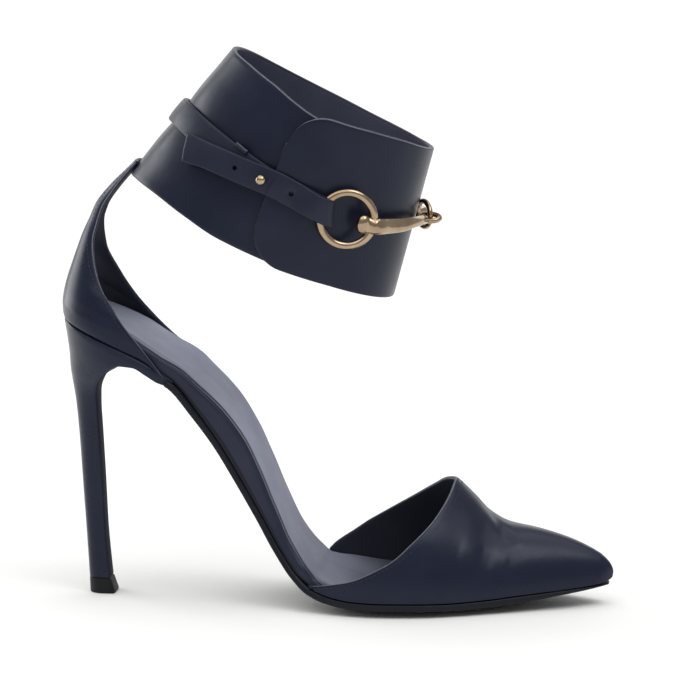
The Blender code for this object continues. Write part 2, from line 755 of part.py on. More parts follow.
def stud_solid(name, stem, ball, angle, low, high, collection, skin):
    """Post on the cuff with a ball on top."""
    steps = 14
    rows = [(stem, low), (stem, high)]
    if ball > 0.0:
        centre = high + math.sqrt(ball ** 2 - stem ** 2)
        tilt = math.asin(stem / ball)
        for k in np.linspace(tilt, math.pi - 0.35, 7)[1:]:
            rows.append((ball * math.sin(k), centre - ball * math.cos(k)))
    rings = []
    for radius, height in rows:
        rings.append([(radius * math.cos(a), radius * math.sin(a), height)
                      for a in np.linspace(0.0, 2.0 * math.pi, steps, endpoint=False)])
    made = ring_loft(name, rings, collection, skin)
    rise = column(CLOSING_PATH, "rise", angle, "angle")
    upward = cuff_base(angle, 1.0) - cuff_base(angle, 0.0)
    place(made, matrix_from(cuff_base(angle, rise), cuff_normal(angle, rise), upward))
    return made


def build_bit_half(name, sign, parts, tools, skin):
    """Knob on the ring, tapered bar and the eye in front."""
    rings = []
    for angle in np.concatenate([BAR["angle"][:1] - 1.2, np.linspace(BAR["angle"][0], BAR["angle"][-1], 16)]):
        row = {key: column(BAR, key, angle, "angle") for key in ("rise", "tall", "thick", "lift")}
        shrink = 0.55 if angle < BAR["angle"][0] else 1.0
        side = sign * angle
        centre = cuff_point(side, row["rise"], outside(side) + row["lift"])
        out = cuff_normal(side, row["rise"])
        upward = cuff_base(side, 1.0) - cuff_base(side, 0.0)
        upward /= np.linalg.norm(upward)
        rings.append([centre + shrink * (upward * row["tall"] * math.cos(a) + out * row["thick"] * math.sin(a))
                      for a in np.linspace(0.0, 2.0 * math.pi, 12, endpoint=False)])
    eye_y = 0.5 * sign * EYE_RADIUS
    root = np.array([EYE_X, eye_y + sign * EYE_RADIUS, EYE_Z])
    last = np.array(rings[-1])
    bend = last.mean(axis=0)
    for share in (0.4, 0.75, 1.0):
        centre = bend + (root - bend) * share
        size = 1.0 + (EYE_WIRE * 0.95 / 1.6 - 1.0) * share
        rings.append([centre + (p - bend) * size for p in last])
    bar = ring_loft(name, rings, parts, skin)
    eye = torus(name + "_eye", EYE_RADIUS, EYE_WIRE, 16, 8, tools, None)
    axis = (0.0, 0.0, 1.0) if sign < 0.0 else (1.0, 0.0, 0.0)
    place(eye, matrix_from((EYE_X, eye_y, EYE_Z), axis, (0.0, 1.0, 0.0)))
    boolean(bar, eye, "UNION")
    room = torus(name + "_room", RING_RADIUS, RING_WIRE + FIT, 28, 8, tools, None)
    place(room, ring_placement(sign))
    boolean(bar, room, "DIFFERENCE")


def build_metal(parts, tools, skin):
    """Stud, two rings and the two halves of the bit."""
    low = STRAP_THICK + 2.0 * FIT
    stud_solid("stud", STUD_STEM, STUD_BALL, STUD_ANGLE, low, low + STRAP_THICK + 1.6, parts, skin)
    for name, sign in (("near", -1.0), ("far", 1.0)):
        ring = torus(name + "_ring", RING_RADIUS, RING_WIRE, 28, 8, parts, skin)
        place(ring, ring_placement(sign))
        build_bit_half(name + "_bit", sign, parts, tools, skin)


def centre_on_floor(parts):
    """Move all pieces so that the origin is the bottom centre of the whole."""
    corners = np.array([point.co for made in parts.objects for point in made.data.vertices])
    low, high = corners.min(axis=0), corners.max(axis=0)
    shift = Vector((-0.5 * (low[0] + high[0]), -0.5 * (low[1] + high[1]), -low[2]))
    for made in parts.objects:
        place(made, Matrix.Translation(shift))


def main():
    """Build every piece."""
    for made in list(bpy.data.objects):
        bpy.data.objects.remove(made, do_unlink=True)
    parts = bpy.data.collections.new(NAME)
    tools = bpy.data.collections.new("cutters")
    for collection in (parts, tools):
        bpy.context.scene.collection.children.link(collection)
    skins = {
        "upper": material("upper_leather", (0.025, 0.03, 0.045), 0.42),
        "cuff": material("cuff_leather", (0.028, 0.033, 0.05), 0.42),
        "insole": material("insole_leather", (0.06, 0.06, 0.075), 0.5),
        "sole": material("sole_leather", (0.02, 0.02, 0.025), 0.5),
        "lift": material("lift_rubber", (0.012, 0.012, 0.014), 0.6),
        "metal": material("bit_metal", (0.62, 0.42, 0.2), 0.25, 1.0),
    }
    build_bottom(parts, skins)
    build_vamp(parts, skins["upper"])
    build_counter(parts, skins["upper"])
    build_heel(parts, tools, skins)
    build_cuff(parts, skins["cuff"])
    build_straps(parts, tools, skins)
    build_metal(parts, tools, skins["metal"])
    centre_on_floor(parts)
    for cutter in tools.objects:
        cutter.hide_render = True
        cutter.display_type = "WIRE"


main()
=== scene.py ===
"""Looks of a pointed high-heel pump with a cinched ankle cuff, and its studio.

Sizes are millimetres in the shoe's own frame: +X runs to the toe, +Z up, and the
outer side of the foot lies at -Y. They become metres where a mesh is made.
"""

import logging
import math
from dataclasses import dataclass, field
from enum import Enum
from typing import Callable

import bmesh
import bpy
import numpy as np
from bpy.types import ID, Material, Mesh, Node, NodeSocket, NodeTree, Object
from mathutils import Matrix, Vector

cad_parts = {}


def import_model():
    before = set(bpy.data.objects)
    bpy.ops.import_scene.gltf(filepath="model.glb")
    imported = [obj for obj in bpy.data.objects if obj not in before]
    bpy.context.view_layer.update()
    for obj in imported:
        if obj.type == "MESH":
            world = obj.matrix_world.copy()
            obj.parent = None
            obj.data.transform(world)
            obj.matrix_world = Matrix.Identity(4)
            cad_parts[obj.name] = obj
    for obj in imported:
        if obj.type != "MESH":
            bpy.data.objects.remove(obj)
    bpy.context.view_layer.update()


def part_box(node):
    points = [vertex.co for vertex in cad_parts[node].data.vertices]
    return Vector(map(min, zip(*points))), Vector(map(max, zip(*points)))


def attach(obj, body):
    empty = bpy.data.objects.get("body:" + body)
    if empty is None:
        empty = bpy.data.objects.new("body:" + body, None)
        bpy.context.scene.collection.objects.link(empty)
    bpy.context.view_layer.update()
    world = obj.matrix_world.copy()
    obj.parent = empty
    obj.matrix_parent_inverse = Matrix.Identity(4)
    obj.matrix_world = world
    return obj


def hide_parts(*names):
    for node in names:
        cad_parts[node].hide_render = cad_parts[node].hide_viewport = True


MM = 0.001
TINY = 1e-9
MERGE_M = 2e-6
SLIVER_M = 1e-6
CRISP = 48.0
QUARTER = 0.5 * math.pi
FULL = 2.0 * math.pi
ROOT = "root"
LOG = logging.getLogger("cuff_pump")

Array = np.ndarray
Triple = tuple[float, float, float]
Finishes = list[Material]
Input = NodeSocket | float | tuple[float, ...]


class Side(Enum):
    """The two sides of the foot, with the sign of their Y."""

    OUTER = -1.0
    INNER = 1.0

    @property
    def label(self) -> str:
        """Name of the side in the charts."""
        return self.name.lower()


class Skin(Enum):
    """Material places of a piece; LINING also takes the dark dressing low on the waist's cover, widened there
    as painted shade.
    """

    FACE = 0
    EDGE = 1
    LINING = 2
    # Painted highlight: a light line where an edge's outer corner catches the light.
    WORN = 3


def through(keys: Array, values: Array, at: Array) -> Array:
    """Read a shape-keeping cubic through keyed values.

    Args:
        keys: Ascending keys.
        values: Values at the keys.
        at: Where to read; held inside the keys.

    Returns:
        The values there.
    """
    at = np.clip(np.asarray(at, dtype=float), keys[0], keys[-1])
    gap = np.diff(keys)
    rate = np.diff(values) / gap
    slope = np.zeros(len(keys))
    slope[0], slope[-1] = rate[0], rate[-1]
    same = rate[:-1] * rate[1:] > 0.0
    left, right = 2.0 * gap[1:] + gap[:-1], gap[1:] + 2.0 * gap[:-1]
    before, after = np.where(same, rate[:-1], 1.0), np.where(same, rate[1:], 1.0)
    slope[1:-1] = np.where(same, (left + right) / (left / before + right / after), 0.0)
    i = np.clip(np.searchsorted(keys, at, side="right") - 1, 0, len(gap) - 1)
    u = (at - keys[i]) / gap[i]
    start = (1.0 + 2.0 * u) * (1.0 - u) ** 2 * values[i] + u * (1.0 - u) ** 2 * gap[i] * slope[i]
    end = u * u * (3.0 - 2.0 * u) * values[i + 1] - u * u * (1.0 - u) * gap[i] * slope[i + 1]
    return start + end


def held(value: float) -> float:
    """A number held between 0 and 1."""
    return min(max(value, 0.0), 1.0)


def ease(share: Array) -> Array:
    """Soft step from 0 to 1."""
    share = np.clip(share, 0.0, 1.0)
    return share * share * (3.0 - 2.0 * share)


def quarter(count: int) -> Array:
    """Even turns from 0 to a quarter, in radians."""
    return np.linspace(0.0, QUARTER, count)


def circle(count: int) -> Array:
    """Even turns of a full circle, in radians."""
    return np.linspace(0.0, FULL, count, endpoint=False)


def bell(gap: Array, width: float) -> Array:
    """Bell curve of a gap."""
    return np.exp(-((gap / width) ** 2))


def rounded(reach: Array) -> Array:
    """Height of a quarter circle by its share from the end inward."""
    return np.sqrt(1.0 - (1.0 - reach) ** 2)


def squared(wave: Array, power: Array) -> Array:
    """A wave raised to a power with its sign kept."""
    return np.sign(wave) * np.abs(wave) ** power


def unit(vectors: Array) -> Array:
    """Vectors brought to length 1."""
    return vectors / np.maximum(np.linalg.norm(vectors, axis=-1, keepdims=True), TINY)


def normals(grid: Array) -> Array:
    """Unit normals of a grid of points."""
    return unit(np.cross(np.gradient(grid, axis=0), np.gradient(grid, axis=1)))


@dataclass(frozen=True)
class Chart:
    """Rows of numbers with named columns; the first column is the key.

    Attributes:
        names: Column names, split by spaces.
        rows: The rows.
    """

    names: str
    rows: tuple[tuple[float, ...], ...]

    def column(self, name: str) -> Array:
        """All values of a column."""
        return np.array(self.rows, dtype=float)[:, self.names.split().index(name)]

    def read(self, name: str, at: Array) -> Array:
        """Values of a column at values of the key."""
        return through(self.column(self.names.split()[0]), self.column(name), at)

    def number(self, name: str, at: float) -> float:
        """One value of a column at a value of the key."""
        return float(self.read(name, at))

    def along(self, name: str, place: Array) -> Array:
        """Values of a column at places counted in rows."""
        return through(np.arange(len(self.rows), dtype=float), self.column(name), place)

    def places(self, count: int) -> Array:
        """Even places from the first row to the last."""
        return np.linspace(0.0, len(self.rows) - 1.0, count)


@dataclass(frozen=True)
class Fold:
    """Soft trough or ridge along a line on the shoe.

    Attributes:
        line: Points of the line in millimetres.
        width: Half width of the form.
        depth: How far it sinks in; a ridge is negative.
        fade: Share of the line's length over which each end runs out.
    """

    line: tuple[Triple, ...]
    width: float
    depth: float
    fade: float = 0.3
    # Points of the refined line, and the share of the run-out that its ends keep.
    POINTS, BLUNT = 40, 0.12

    def sink(self, points: Array) -> Array:
        """How far points sink in.

        Args:
            points: Points of any layout, with three numbers each.

        Returns:
            One depth for each point.
        """
        line = np.array(self.line)
        steps = np.concatenate([[0.0], np.cumsum(np.linalg.norm(np.diff(line, axis=0), axis=1))])
        fine = np.linspace(0.0, steps[-1], self.POINTS)
        path = np.stack([through(steps, line[:, k], fine) for k in range(3)], axis=1)
        gap = np.linalg.norm(points[..., None, :] - path, axis=-1)
        share = fine[gap.argmin(axis=-1)] / steps[-1]
        ends = ease(np.minimum(share, 1.0 - share) / self.fade + self.BLUNT)
        return self.depth * ends * bell(gap.min(axis=-1), self.width)


def rim(outer: Array, inner: Array, beside: Array, bulge: float,
        steps: int = 6) -> Array:
    """Rows of points that round the edge of a sheet from its outer to its inner face.

    Args:
        outer: Edge of the outer face.
        inner: Edge of the inner face.
        beside: Middle of the sheet one step away from the edge.
        bulge: How far the edge stands out, in half thicknesses.
        steps: Strips of the rounding.

    Returns:
        The rows between the two edges.
    """
    half, middle = 0.5 * (outer - inner), 0.5 * (outer + inner)
    away = middle - beside
    away = away - half * (np.sum(away * half, -1) / np.maximum(np.sum(half * half, -1), TINY))[..., None]
    away = unit(away) * np.linalg.norm(half, axis=-1, keepdims=True) * bulge
    turns = np.linspace(0.0, math.pi, steps + 1)[1:-1]
    return np.array([middle + math.cos(t) * half + math.sin(t) * away for t in turns])


def clean(mesh: Mesh, crisp: float) -> None:
    """Merge doubles, turn faces outward and shade smooth.

    Args:
        mesh: The mesh.
        crisp: Edges sharper than this angle in degrees are shaded hard.
    """
    work = bmesh.new()
    work.from_mesh(mesh)
    bmesh.ops.remove_doubles(work, verts=work.verts, dist=MERGE_M)
    bmesh.ops.dissolve_degenerate(work, edges=work.edges, dist=SLIVER_M)
    bmesh.ops.recalc_face_normals(work, faces=work.faces)
    work.to_mesh(mesh)
    work.free()
    mesh.shade_smooth()
    mesh.set_sharp_from_angle(angle=math.radians(crisp))


class Draft:
    """Points and faces of one closed piece, collected before its mesh is made."""

    def __init__(self) -> None:
        """Start with nothing."""
        self.points: list[Array] = []
        self.count = 0
        self.faces: list[tuple[int, ...]] = []
        self.skins: list[int] = []

    def add(self, points: Array) -> Array:
        """Add points.

        Args:
            points: Points of any layout, with three numbers each.

        Returns:
            Their numbers in the same layout.
        """
        flat = np.asarray(points, dtype=float).reshape(-1, 3)
        numbers = np.arange(self.count, self.count + len(flat)).reshape(np.shape(points)[:-1])
        self.points.append(flat)
        self.count += len(flat)
        return numbers

    def polygon(self, numbers: list[int], skin: Skin) -> None:
        """Add one face if it has three points or more."""
        if len(numbers) > 2:
            self.faces.append(tuple(int(n) for n in numbers))
            self.skins.append(skin.value)

    def quads(self, grid: Array, skin: Skin = Skin.FACE) -> None:
        """Join a grid of numbered points by quads."""
        for top, low in zip(grid[:-1], grid[1:]):
            for k in range(len(top) - 1):
                self.polygon([top[k], top[k + 1], low[k + 1], low[k]], skin)

    def loft(self, rings: Array, skins: list[Skin] | None = None, ends: Skin = Skin.FACE) -> "Draft":
        """Join closed rings and cap both ends.

        Args:
            rings: Rings by points by three numbers.
            skins: Skin of the strip after each ring point; plain if left out.
            ends: Skin of the caps.

        Returns:
            The draft itself.
        """
        numbers = self.add(rings)
        count = numbers.shape[1]
        for k in range(count):
            self.quads(numbers[:, [k, (k + 1) % count]], skins[k] if skins else Skin.FACE)
        self.polygon(list(numbers[0]), ends)
        self.polygon(list(numbers[-1]), ends)
        return self

    def sheet(self, outer: Array, inner: Array, bulges: tuple[float, ...]) -> "Draft":
        """Close the space between two grids of the same size by four rounded rims.

        Args:
            outer: Grid of the outer face.
            inner: Grid of the inner face.
            bulges: Roundness of the rims at the first row, the last row, the first
                and the last column; 0 leaves a rim flat.

        Returns:
            The draft itself.
        """
        out, inn = self.add(outer), self.add(inner)
        self.quads(out, Skin.FACE)
        self.quads(inn, Skin.LINING)
        picks = ((np.s_[0, :], np.s_[1, :]), (np.s_[-1, :], np.s_[-2, :]),
                 (np.s_[:, 0], np.s_[:, 1]), (np.s_[:, -1], np.s_[:, -2]))
        strips = []
        for (edge, beside), bulge in zip(picks, bulges):
            rows = [out[edge]]
            if bulge > 0.0:
                middle = 0.5 * (outer[beside] + inner[beside])
                rows += list(self.add(rim(outer[edge], inner[edge], middle, bulge)))
            rows.append(inn[edge])
            strips.append(np.array(rows))
            self.lip(strips[-1])
        for a, at_a, b, at_b in ((0, 0, 2, 0), (0, -1, 3, 0), (1, 0, 2, -1), (1, -1, 3, -1)):
            one, two = list(strips[a][:, at_a]), list(strips[b][:, at_b])
            self.polygon(one + two[-2:0:-1], Skin.EDGE)
        return self

    def lip(self, rows: Array) -> None:
        """Join the rows of a rim, with a painted highlight line beside the outer face.

        Args:
            rows: Rows of point numbers from the outer to the inner face.
        """
        for number in range(len(rows) - 1):
            highlighted = number == 1 and len(rows) > 3
            self.quads(rows[number:number + 2], Skin.WORN if highlighted else Skin.EDGE)

    def make(self, name: str, origin: Array, finishes: Finishes,
             crisp: float = CRISP) -> Object:
        """Make the object.

        Args:
            name: Name of the piece.
            origin: Shift into the part's frame in millimetres.
            finishes: Materials in the order of Skin.
            crisp: Edges sharper than this angle in degrees are shaded hard.

        Returns:
            The object, at the origin, with faces turned outward.
        """
        mesh = bpy.data.meshes.new(name)
        points = (np.concatenate(self.points) + origin) * MM
        mesh.from_pydata(points.tolist(), [], self.faces)
        mesh.polygons.foreach_set("material_index", self.skins)
        for material in finishes:
            mesh.materials.append(material)
        clean(mesh, crisp)
        return stand(name, mesh)


def stand(name: str, data: ID) -> Object:
    """New object of some data in the scene."""
    made = bpy.data.objects.new(name, data)
    bpy.context.scene.collection.objects.link(made)
    return made


def bake(piece: Object) -> None:
    """Turn a piece with modifiers into a plain mesh."""
    view = bpy.context.evaluated_depsgraph_get()
    piece.data = bpy.data.meshes.new_from_object(piece.evaluated_get(view))
    piece.modifiers.clear()


def boolean(target: Object, cutter: Object, operation: str,
            crisp: float = 40.0) -> None:
    """Apply an exact boolean and remove the cutter.

    Args:
        target: Piece that is changed.
        cutter: Closed shape that is spent.
        operation: DIFFERENCE or UNION.
        crisp: Edges sharper than this angle in degrees are shaded hard.
    """
    tool = target.modifiers.new("boolean", "BOOLEAN")
    tool.operation, tool.solver, tool.object = operation, "EXACT", cutter
    bake(target)
    clean(target.data, crisp)
    bpy.data.objects.remove(cutter, do_unlink=True)


def settle(piece: Object, slot: str, *nodes: str) -> None:
    """Let a piece ride on the part and take the place of CAD nodes.

    Args:
        piece: The finished piece.
        slot: Material slot of the record; not used.
        nodes: CAD nodes that it stands for.
    """
    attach(piece, ROOT)
    if nodes:
        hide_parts(*nodes)
    LOG.info("%s: %d faces", piece.name, len(piece.data.polygons))


@dataclass(frozen=True)
class Pattern:
    """Cloudy pattern of a finish.

    Attributes:
        scale: Features per metre.
        detail: Octaves.
        rough: Strength of the finer octaves.
    """

    scale: float
    detail: float = 3.0
    rough: float = 0.5


@dataclass(frozen=True)
class Finish:
    """Finish of two tones that a pattern blends.

    Attributes:
        name: Name of the material.
        deep: Darker tone.
        pale: Paler tone.
    """

    name: str
    deep: Triple
    pale: Triple


class Shader:
    """Node tree of one material, with short ways to add nodes and links."""

    def __init__(self, name: str, **values: Input) -> None:
        """Start a material and fill its principled shader."""
        self.material = bpy.data.materials.new(name)
        self.material.use_nodes = True
        self.tree = self.material.node_tree
        self.surface = self.tree.nodes["Principled BSDF"]
        self.place = self.add("TexCoord", "Object")
        self.feed(**values)

    def fill(self, node: Node, values: dict[str, Input]) -> None:
        """Set or link inputs of a node.

        Args:
            node: The node.
            values: Numbers or outputs by input; an underscore stands for a space.
        """
        for name, value in values.items():
            socket = node.inputs[name.replace("_", " ")]
            if isinstance(value, NodeSocket):
                self.tree.links.new(value, socket)
            else:
                socket.default_value = value

    def feed(self, **values: Input) -> None:
        """Set or link inputs of the principled shader."""
        self.fill(self.surface, values)

    def add(self, kind: str, result: str, **values: Input) -> NodeSocket:
        """Add a node.

        Args:
            kind: Its kind, without the prefix.
            result: Name of the output that is used.
            values: Its inputs, as for fill.

        Returns:
            That output.
        """
        node = self.tree.nodes.new("ShaderNode" + kind)
        self.fill(node, values)
        return node.outputs[result]

    def stretched(self, scale: Triple, turn: Triple) -> NodeSocket:
        """Object coordinates scaled, and turned by degrees."""
        angles = tuple(math.radians(t) for t in turn)
        return self.add("Mapping", "Vector", Scale=scale, Rotation=angles, Vector=self.place)

    def noise(self, pattern: Pattern, vector: NodeSocket | None = None) -> NodeSocket:
        """A pattern's values, on plain object coordinates if no others are given."""
        return self.add("TexNoise", "Fac", Scale=pattern.scale, Detail=pattern.detail,
                        Roughness=pattern.rough, Vector=vector or self.place)

    def shaded(self, colour: NodeSocket, start: float, end: float,
               left: float) -> NodeSocket:
        """Darken a colour along the shoe.

        Args:
            colour: The colour.
            start: Station in metres where it begins to darken.
            end: Station where it is darkest.
            left: Share of the colour that is left there.

        Returns:
            The darkened colour.
        """
        station = self.add("SeparateXYZ", "X", Vector=self.place)
        node = self.tree.nodes.new("ShaderNodeVectorMath")
        node.operation = "SCALE"
        self.fill(node, {"Vector": colour, "Scale": self.spread(station, 1.0, left, start, end)})
        return node.outputs["Vector"]

    def spread(self, value: NodeSocket, low: float, high: float,
               start: float = 0.3, end: float = 0.7) -> NodeSocket:
        """A pattern brought to a range: low at its value start, high at its value end."""
        return self.add("MapRange", "Result", Value=value, From_Min=start, From_Max=end, To_Min=low,
                        To_Max=high)

    def blend(self, value: NodeSocket, finish: Finish,
              ends: tuple[float, float] = (0.35, 0.65)) -> NodeSocket:
        """Colours of a finish by a pattern.

        Args:
            value: The pattern.
            finish: Finish whose deep tone runs into its pale one.
            ends: Pattern values of the two tones.

        Returns:
            The colour output.
        """
        node = self.tree.nodes.new("ShaderNodeValToRGB")
        for stop, place, tone in zip(node.color_ramp.elements, ends, (finish.deep, finish.pale)):
            stop.position, stop.color = place, (*tone, 1.0)
        self.fill(node, {"Fac": value})
        return node.outputs["Color"]

    def bump(self, *layers: tuple[NodeSocket, float, float]) -> None:
        """Stack bump layers on the shader.

        Args:
            layers: Pattern, strength and height in metres of each layer.
        """
        below: dict[str, Input] = {}
        for pattern, strength, height in layers:
            below = {"Normal": self.add("Bump", "Normal", Strength=strength, Distance=height,
                                        Height=pattern, **below)}
        self.feed(**below)


@dataclass(frozen=True)
class Leather(Finish):
    """Dyed smooth leather, also taken for the rubber pad.

    Attributes:
        gloss: Lowest roughness.
        dull: Highest roughness.
        coat: Weight of the finish on top.
        grain: Strength of the grain.
        shine: Level of the reflection under the finish.
        fade: Stations in metres between which it darkens, and the share of colour left.
    """

    gloss: float = 0.33
    dull: float = 0.43
    coat: float = 0.04
    grain: float = 0.14
    shine: float = 0.26
    fade: Triple | None = None
    CLOUDS = Pattern(46.0, 4.0, 0.55)
    SHEEN = Pattern(130.0, 3.0, 0.6)
    WRINKLES = Pattern(480.0, 2.0)
    DRAPE = Pattern(60.0, 2.0, 0.4)
    COAT_ROUGHNESS = 0.28
    COOL_SHINE = (0.82, 0.9, 1.0, 1.0)
    DRAPE_RELIEF = (0.25, 0.0008)
    GRAIN_HEIGHT = 0.0002

    def material(self) -> Material:
        """Make the material."""
        shader = Shader(self.name, Coat_Weight=self.coat, Coat_Roughness=self.COAT_ROUGHNESS,
                        Specular_IOR_Level=self.shine, Specular_Tint=self.COOL_SHINE)
        colour = shader.blend(shader.noise(self.CLOUDS), self)
        shader.feed(Base_Color=shader.shaded(colour, *self.fade) if self.fade else colour,
                    Roughness=shader.spread(shader.noise(self.SHEEN), self.gloss, self.dull))
        shader.bump((shader.noise(self.DRAPE), *self.DRAPE_RELIEF),
                    (shader.noise(self.WRINKLES), self.grain, self.GRAIN_HEIGHT))
        return shader.material


@dataclass(frozen=True)
class CutEdge(Finish):
    """Leather edge or corner: cut, folded or dressed, a painted highlight line on a corner, and the heel's
    breast.

    Attributes:
        rough: Middle roughness.
        shine: Level of the reflection.
    """

    rough: float = 0.5
    shine: float = 0.25
    FIBRE = Pattern(900.0, 4.0, 0.65)
    FIBRE_ENDS = (0.3, 0.7)
    SMOOTHER = 0.1
    ROUGHER = 0.12
    FIBRE_RELIEF = (0.3, 0.0002)

    def material(self) -> Material:
        """Make the material."""
        shader = Shader(self.name, Specular_IOR_Level=self.shine)
        fibre = shader.noise(self.FIBRE)
        shader.feed(Base_Color=shader.blend(fibre, self, self.FIBRE_ENDS),
                    Roughness=shader.spread(fibre, self.rough - self.SMOOTHER, self.rough + self.ROUGHER))
        shader.bump((fibre, *self.FIBRE_RELIEF))
        return shader.material


@dataclass(frozen=True)
class CastMetal(Finish):
    """Polished pale gold metal with faint handling marks.

    Attributes:
        gloss: Lowest roughness.
        dull: Highest roughness.
    """

    gloss: float = 0.14
    dull: float = 0.26
    CLOUDS = Pattern(160.0)
    CLOUD_ENDS = (0.3, 0.7)
    MARKS = Pattern(420.0, 4.0, 0.6)
    MARK_SCALE = (1.0, 1.0, 6.0)
    MARK_TURN = (25.0, 40.0, 0.0)
    MARK_RELIEF = (0.06, 0.0001)
    WAVES = Pattern(260.0, 2.0)
    WAVE_RELIEF = (0.05, 0.0003)

    def material(self) -> Material:
        """Make the material."""
        shader = Shader(self.name, Metallic=1.0)
        marks = shader.noise(self.MARKS, shader.stretched(self.MARK_SCALE, self.MARK_TURN))
        shader.feed(Base_Color=shader.blend(shader.noise(self.CLOUDS), self, self.CLOUD_ENDS),
                    Roughness=shader.spread(marks, self.gloss, self.dull))
        shader.bump((marks, *self.MARK_RELIEF), (shader.noise(self.WAVES), *self.WAVE_RELIEF))
        return shader.material


@dataclass(frozen=True)
class Thread(CutEdge):
    """Waxed sewing thread, whose plies take the place of the edge's fibre."""

    rough: float = 0.6
    shine: float = 0.5
    FIBRE, FIBRE_ENDS, FIBRE_RELIEF = Pattern(3200.0, 2.0), (0.35, 0.65), (0.3, 0.0001)
    SMOOTHER, ROUGHER = 0.1, 0.1


@dataclass(frozen=True)
class Paper(Finish):
    """Matt pale studio floor."""

    CLOUDS = Pattern(2.0, 2.0)
    # Roughness and level of the reflection.
    ROUGH, SHINE = 0.75, 0.2

    def material(self) -> Material:
        """Make the material."""
        shader = Shader(self.name, Roughness=self.ROUGH, Specular_IOR_Level=self.SHINE)
        shader.feed(Base_Color=shader.blend(shader.noise(self.CLOUDS), self))
        return shader.material


@dataclass
class Wardrobe:
    """All finishes of the shoe, made once."""

    upper: Leather = Leather("upper_calf", (0.008, 0.0105, 0.025), (0.0105, 0.0135, 0.031),
                             0.26, 0.35, 0.06, 0.08, 0.22)
    cuff: Leather = Leather("cuff_calf", (0.0085, 0.0105, 0.0245), (0.011, 0.0135, 0.03),
                            0.28, 0.37, 0.06, shine=0.21)
    strap: Leather = Leather("strap_calf", (0.011, 0.013, 0.0275), (0.0145, 0.017, 0.034), grain=0.2)
    lining: Leather = Leather("lining_kid", (0.02, 0.022, 0.033), (0.027, 0.029, 0.042), 0.4, 0.5, 0.0)
    sock: Leather = Leather("sock_kid", (0.24, 0.252, 0.33), (0.284, 0.298, 0.388), 0.42, 0.52, 0.0,
                            shine=0.05, fade=(-0.024, 0.024, 0.16))
    cuff_lining: Leather = Leather("cuff_lining_kid", (0.047, 0.051, 0.08), (0.058, 0.062, 0.095),
                                   0.4, 0.5, 0.0)
    rand: Leather = Leather("rand_calf", (0.0155, 0.0174, 0.035), (0.0205, 0.023, 0.0435), 0.3, 0.4)
    sole: Leather = Leather("sole_bend", (0.006, 0.006, 0.008), (0.009, 0.009, 0.011), 0.38, 0.52)
    lift: Leather = Leather("lift_rubber_pad", (0.006, 0.006, 0.007), (0.009, 0.009, 0.01), 0.5, 0.65, 0.0)
    # Painted highlight: a light line along the outer corners of edges, where light catches them.
    worn: CutEdge = CutEdge("painted_edge_highlight", (0.09, 0.102, 0.135), (0.17, 0.187, 0.235), 0.42)
    folded: CutEdge = CutEdge("folded_edge", (0.0085, 0.011, 0.025), (0.0125, 0.0155, 0.033), 0.42)
    sole_edge: CutEdge = CutEdge("sole_edge_dressing", (0.0065, 0.0075, 0.013), (0.0105, 0.012, 0.0185),
                                 0.4, 0.18)
    breast: CutEdge = CutEdge("breast_cover", (0.017, 0.02, 0.033), (0.023, 0.027, 0.042), 0.7, 0.03)
    gold: CastMetal = CastMetal("antique_gold", (0.33, 0.24, 0.155), (0.46, 0.35, 0.24), 0.1, 0.21)
    thread: Thread = Thread("dark_thread", (0.008, 0.009, 0.014), (0.022, 0.024, 0.032))
    made: dict[str, Material] = field(default_factory=dict)

    def set_of(self, names: str) -> Finishes:
        """Materials of finishes named with spaces between, each made on first use."""
        for name in names.split():
            if name not in self.made:
                self.made[name] = getattr(self, name).material()
        return [self.made[name] for name in names.split()]


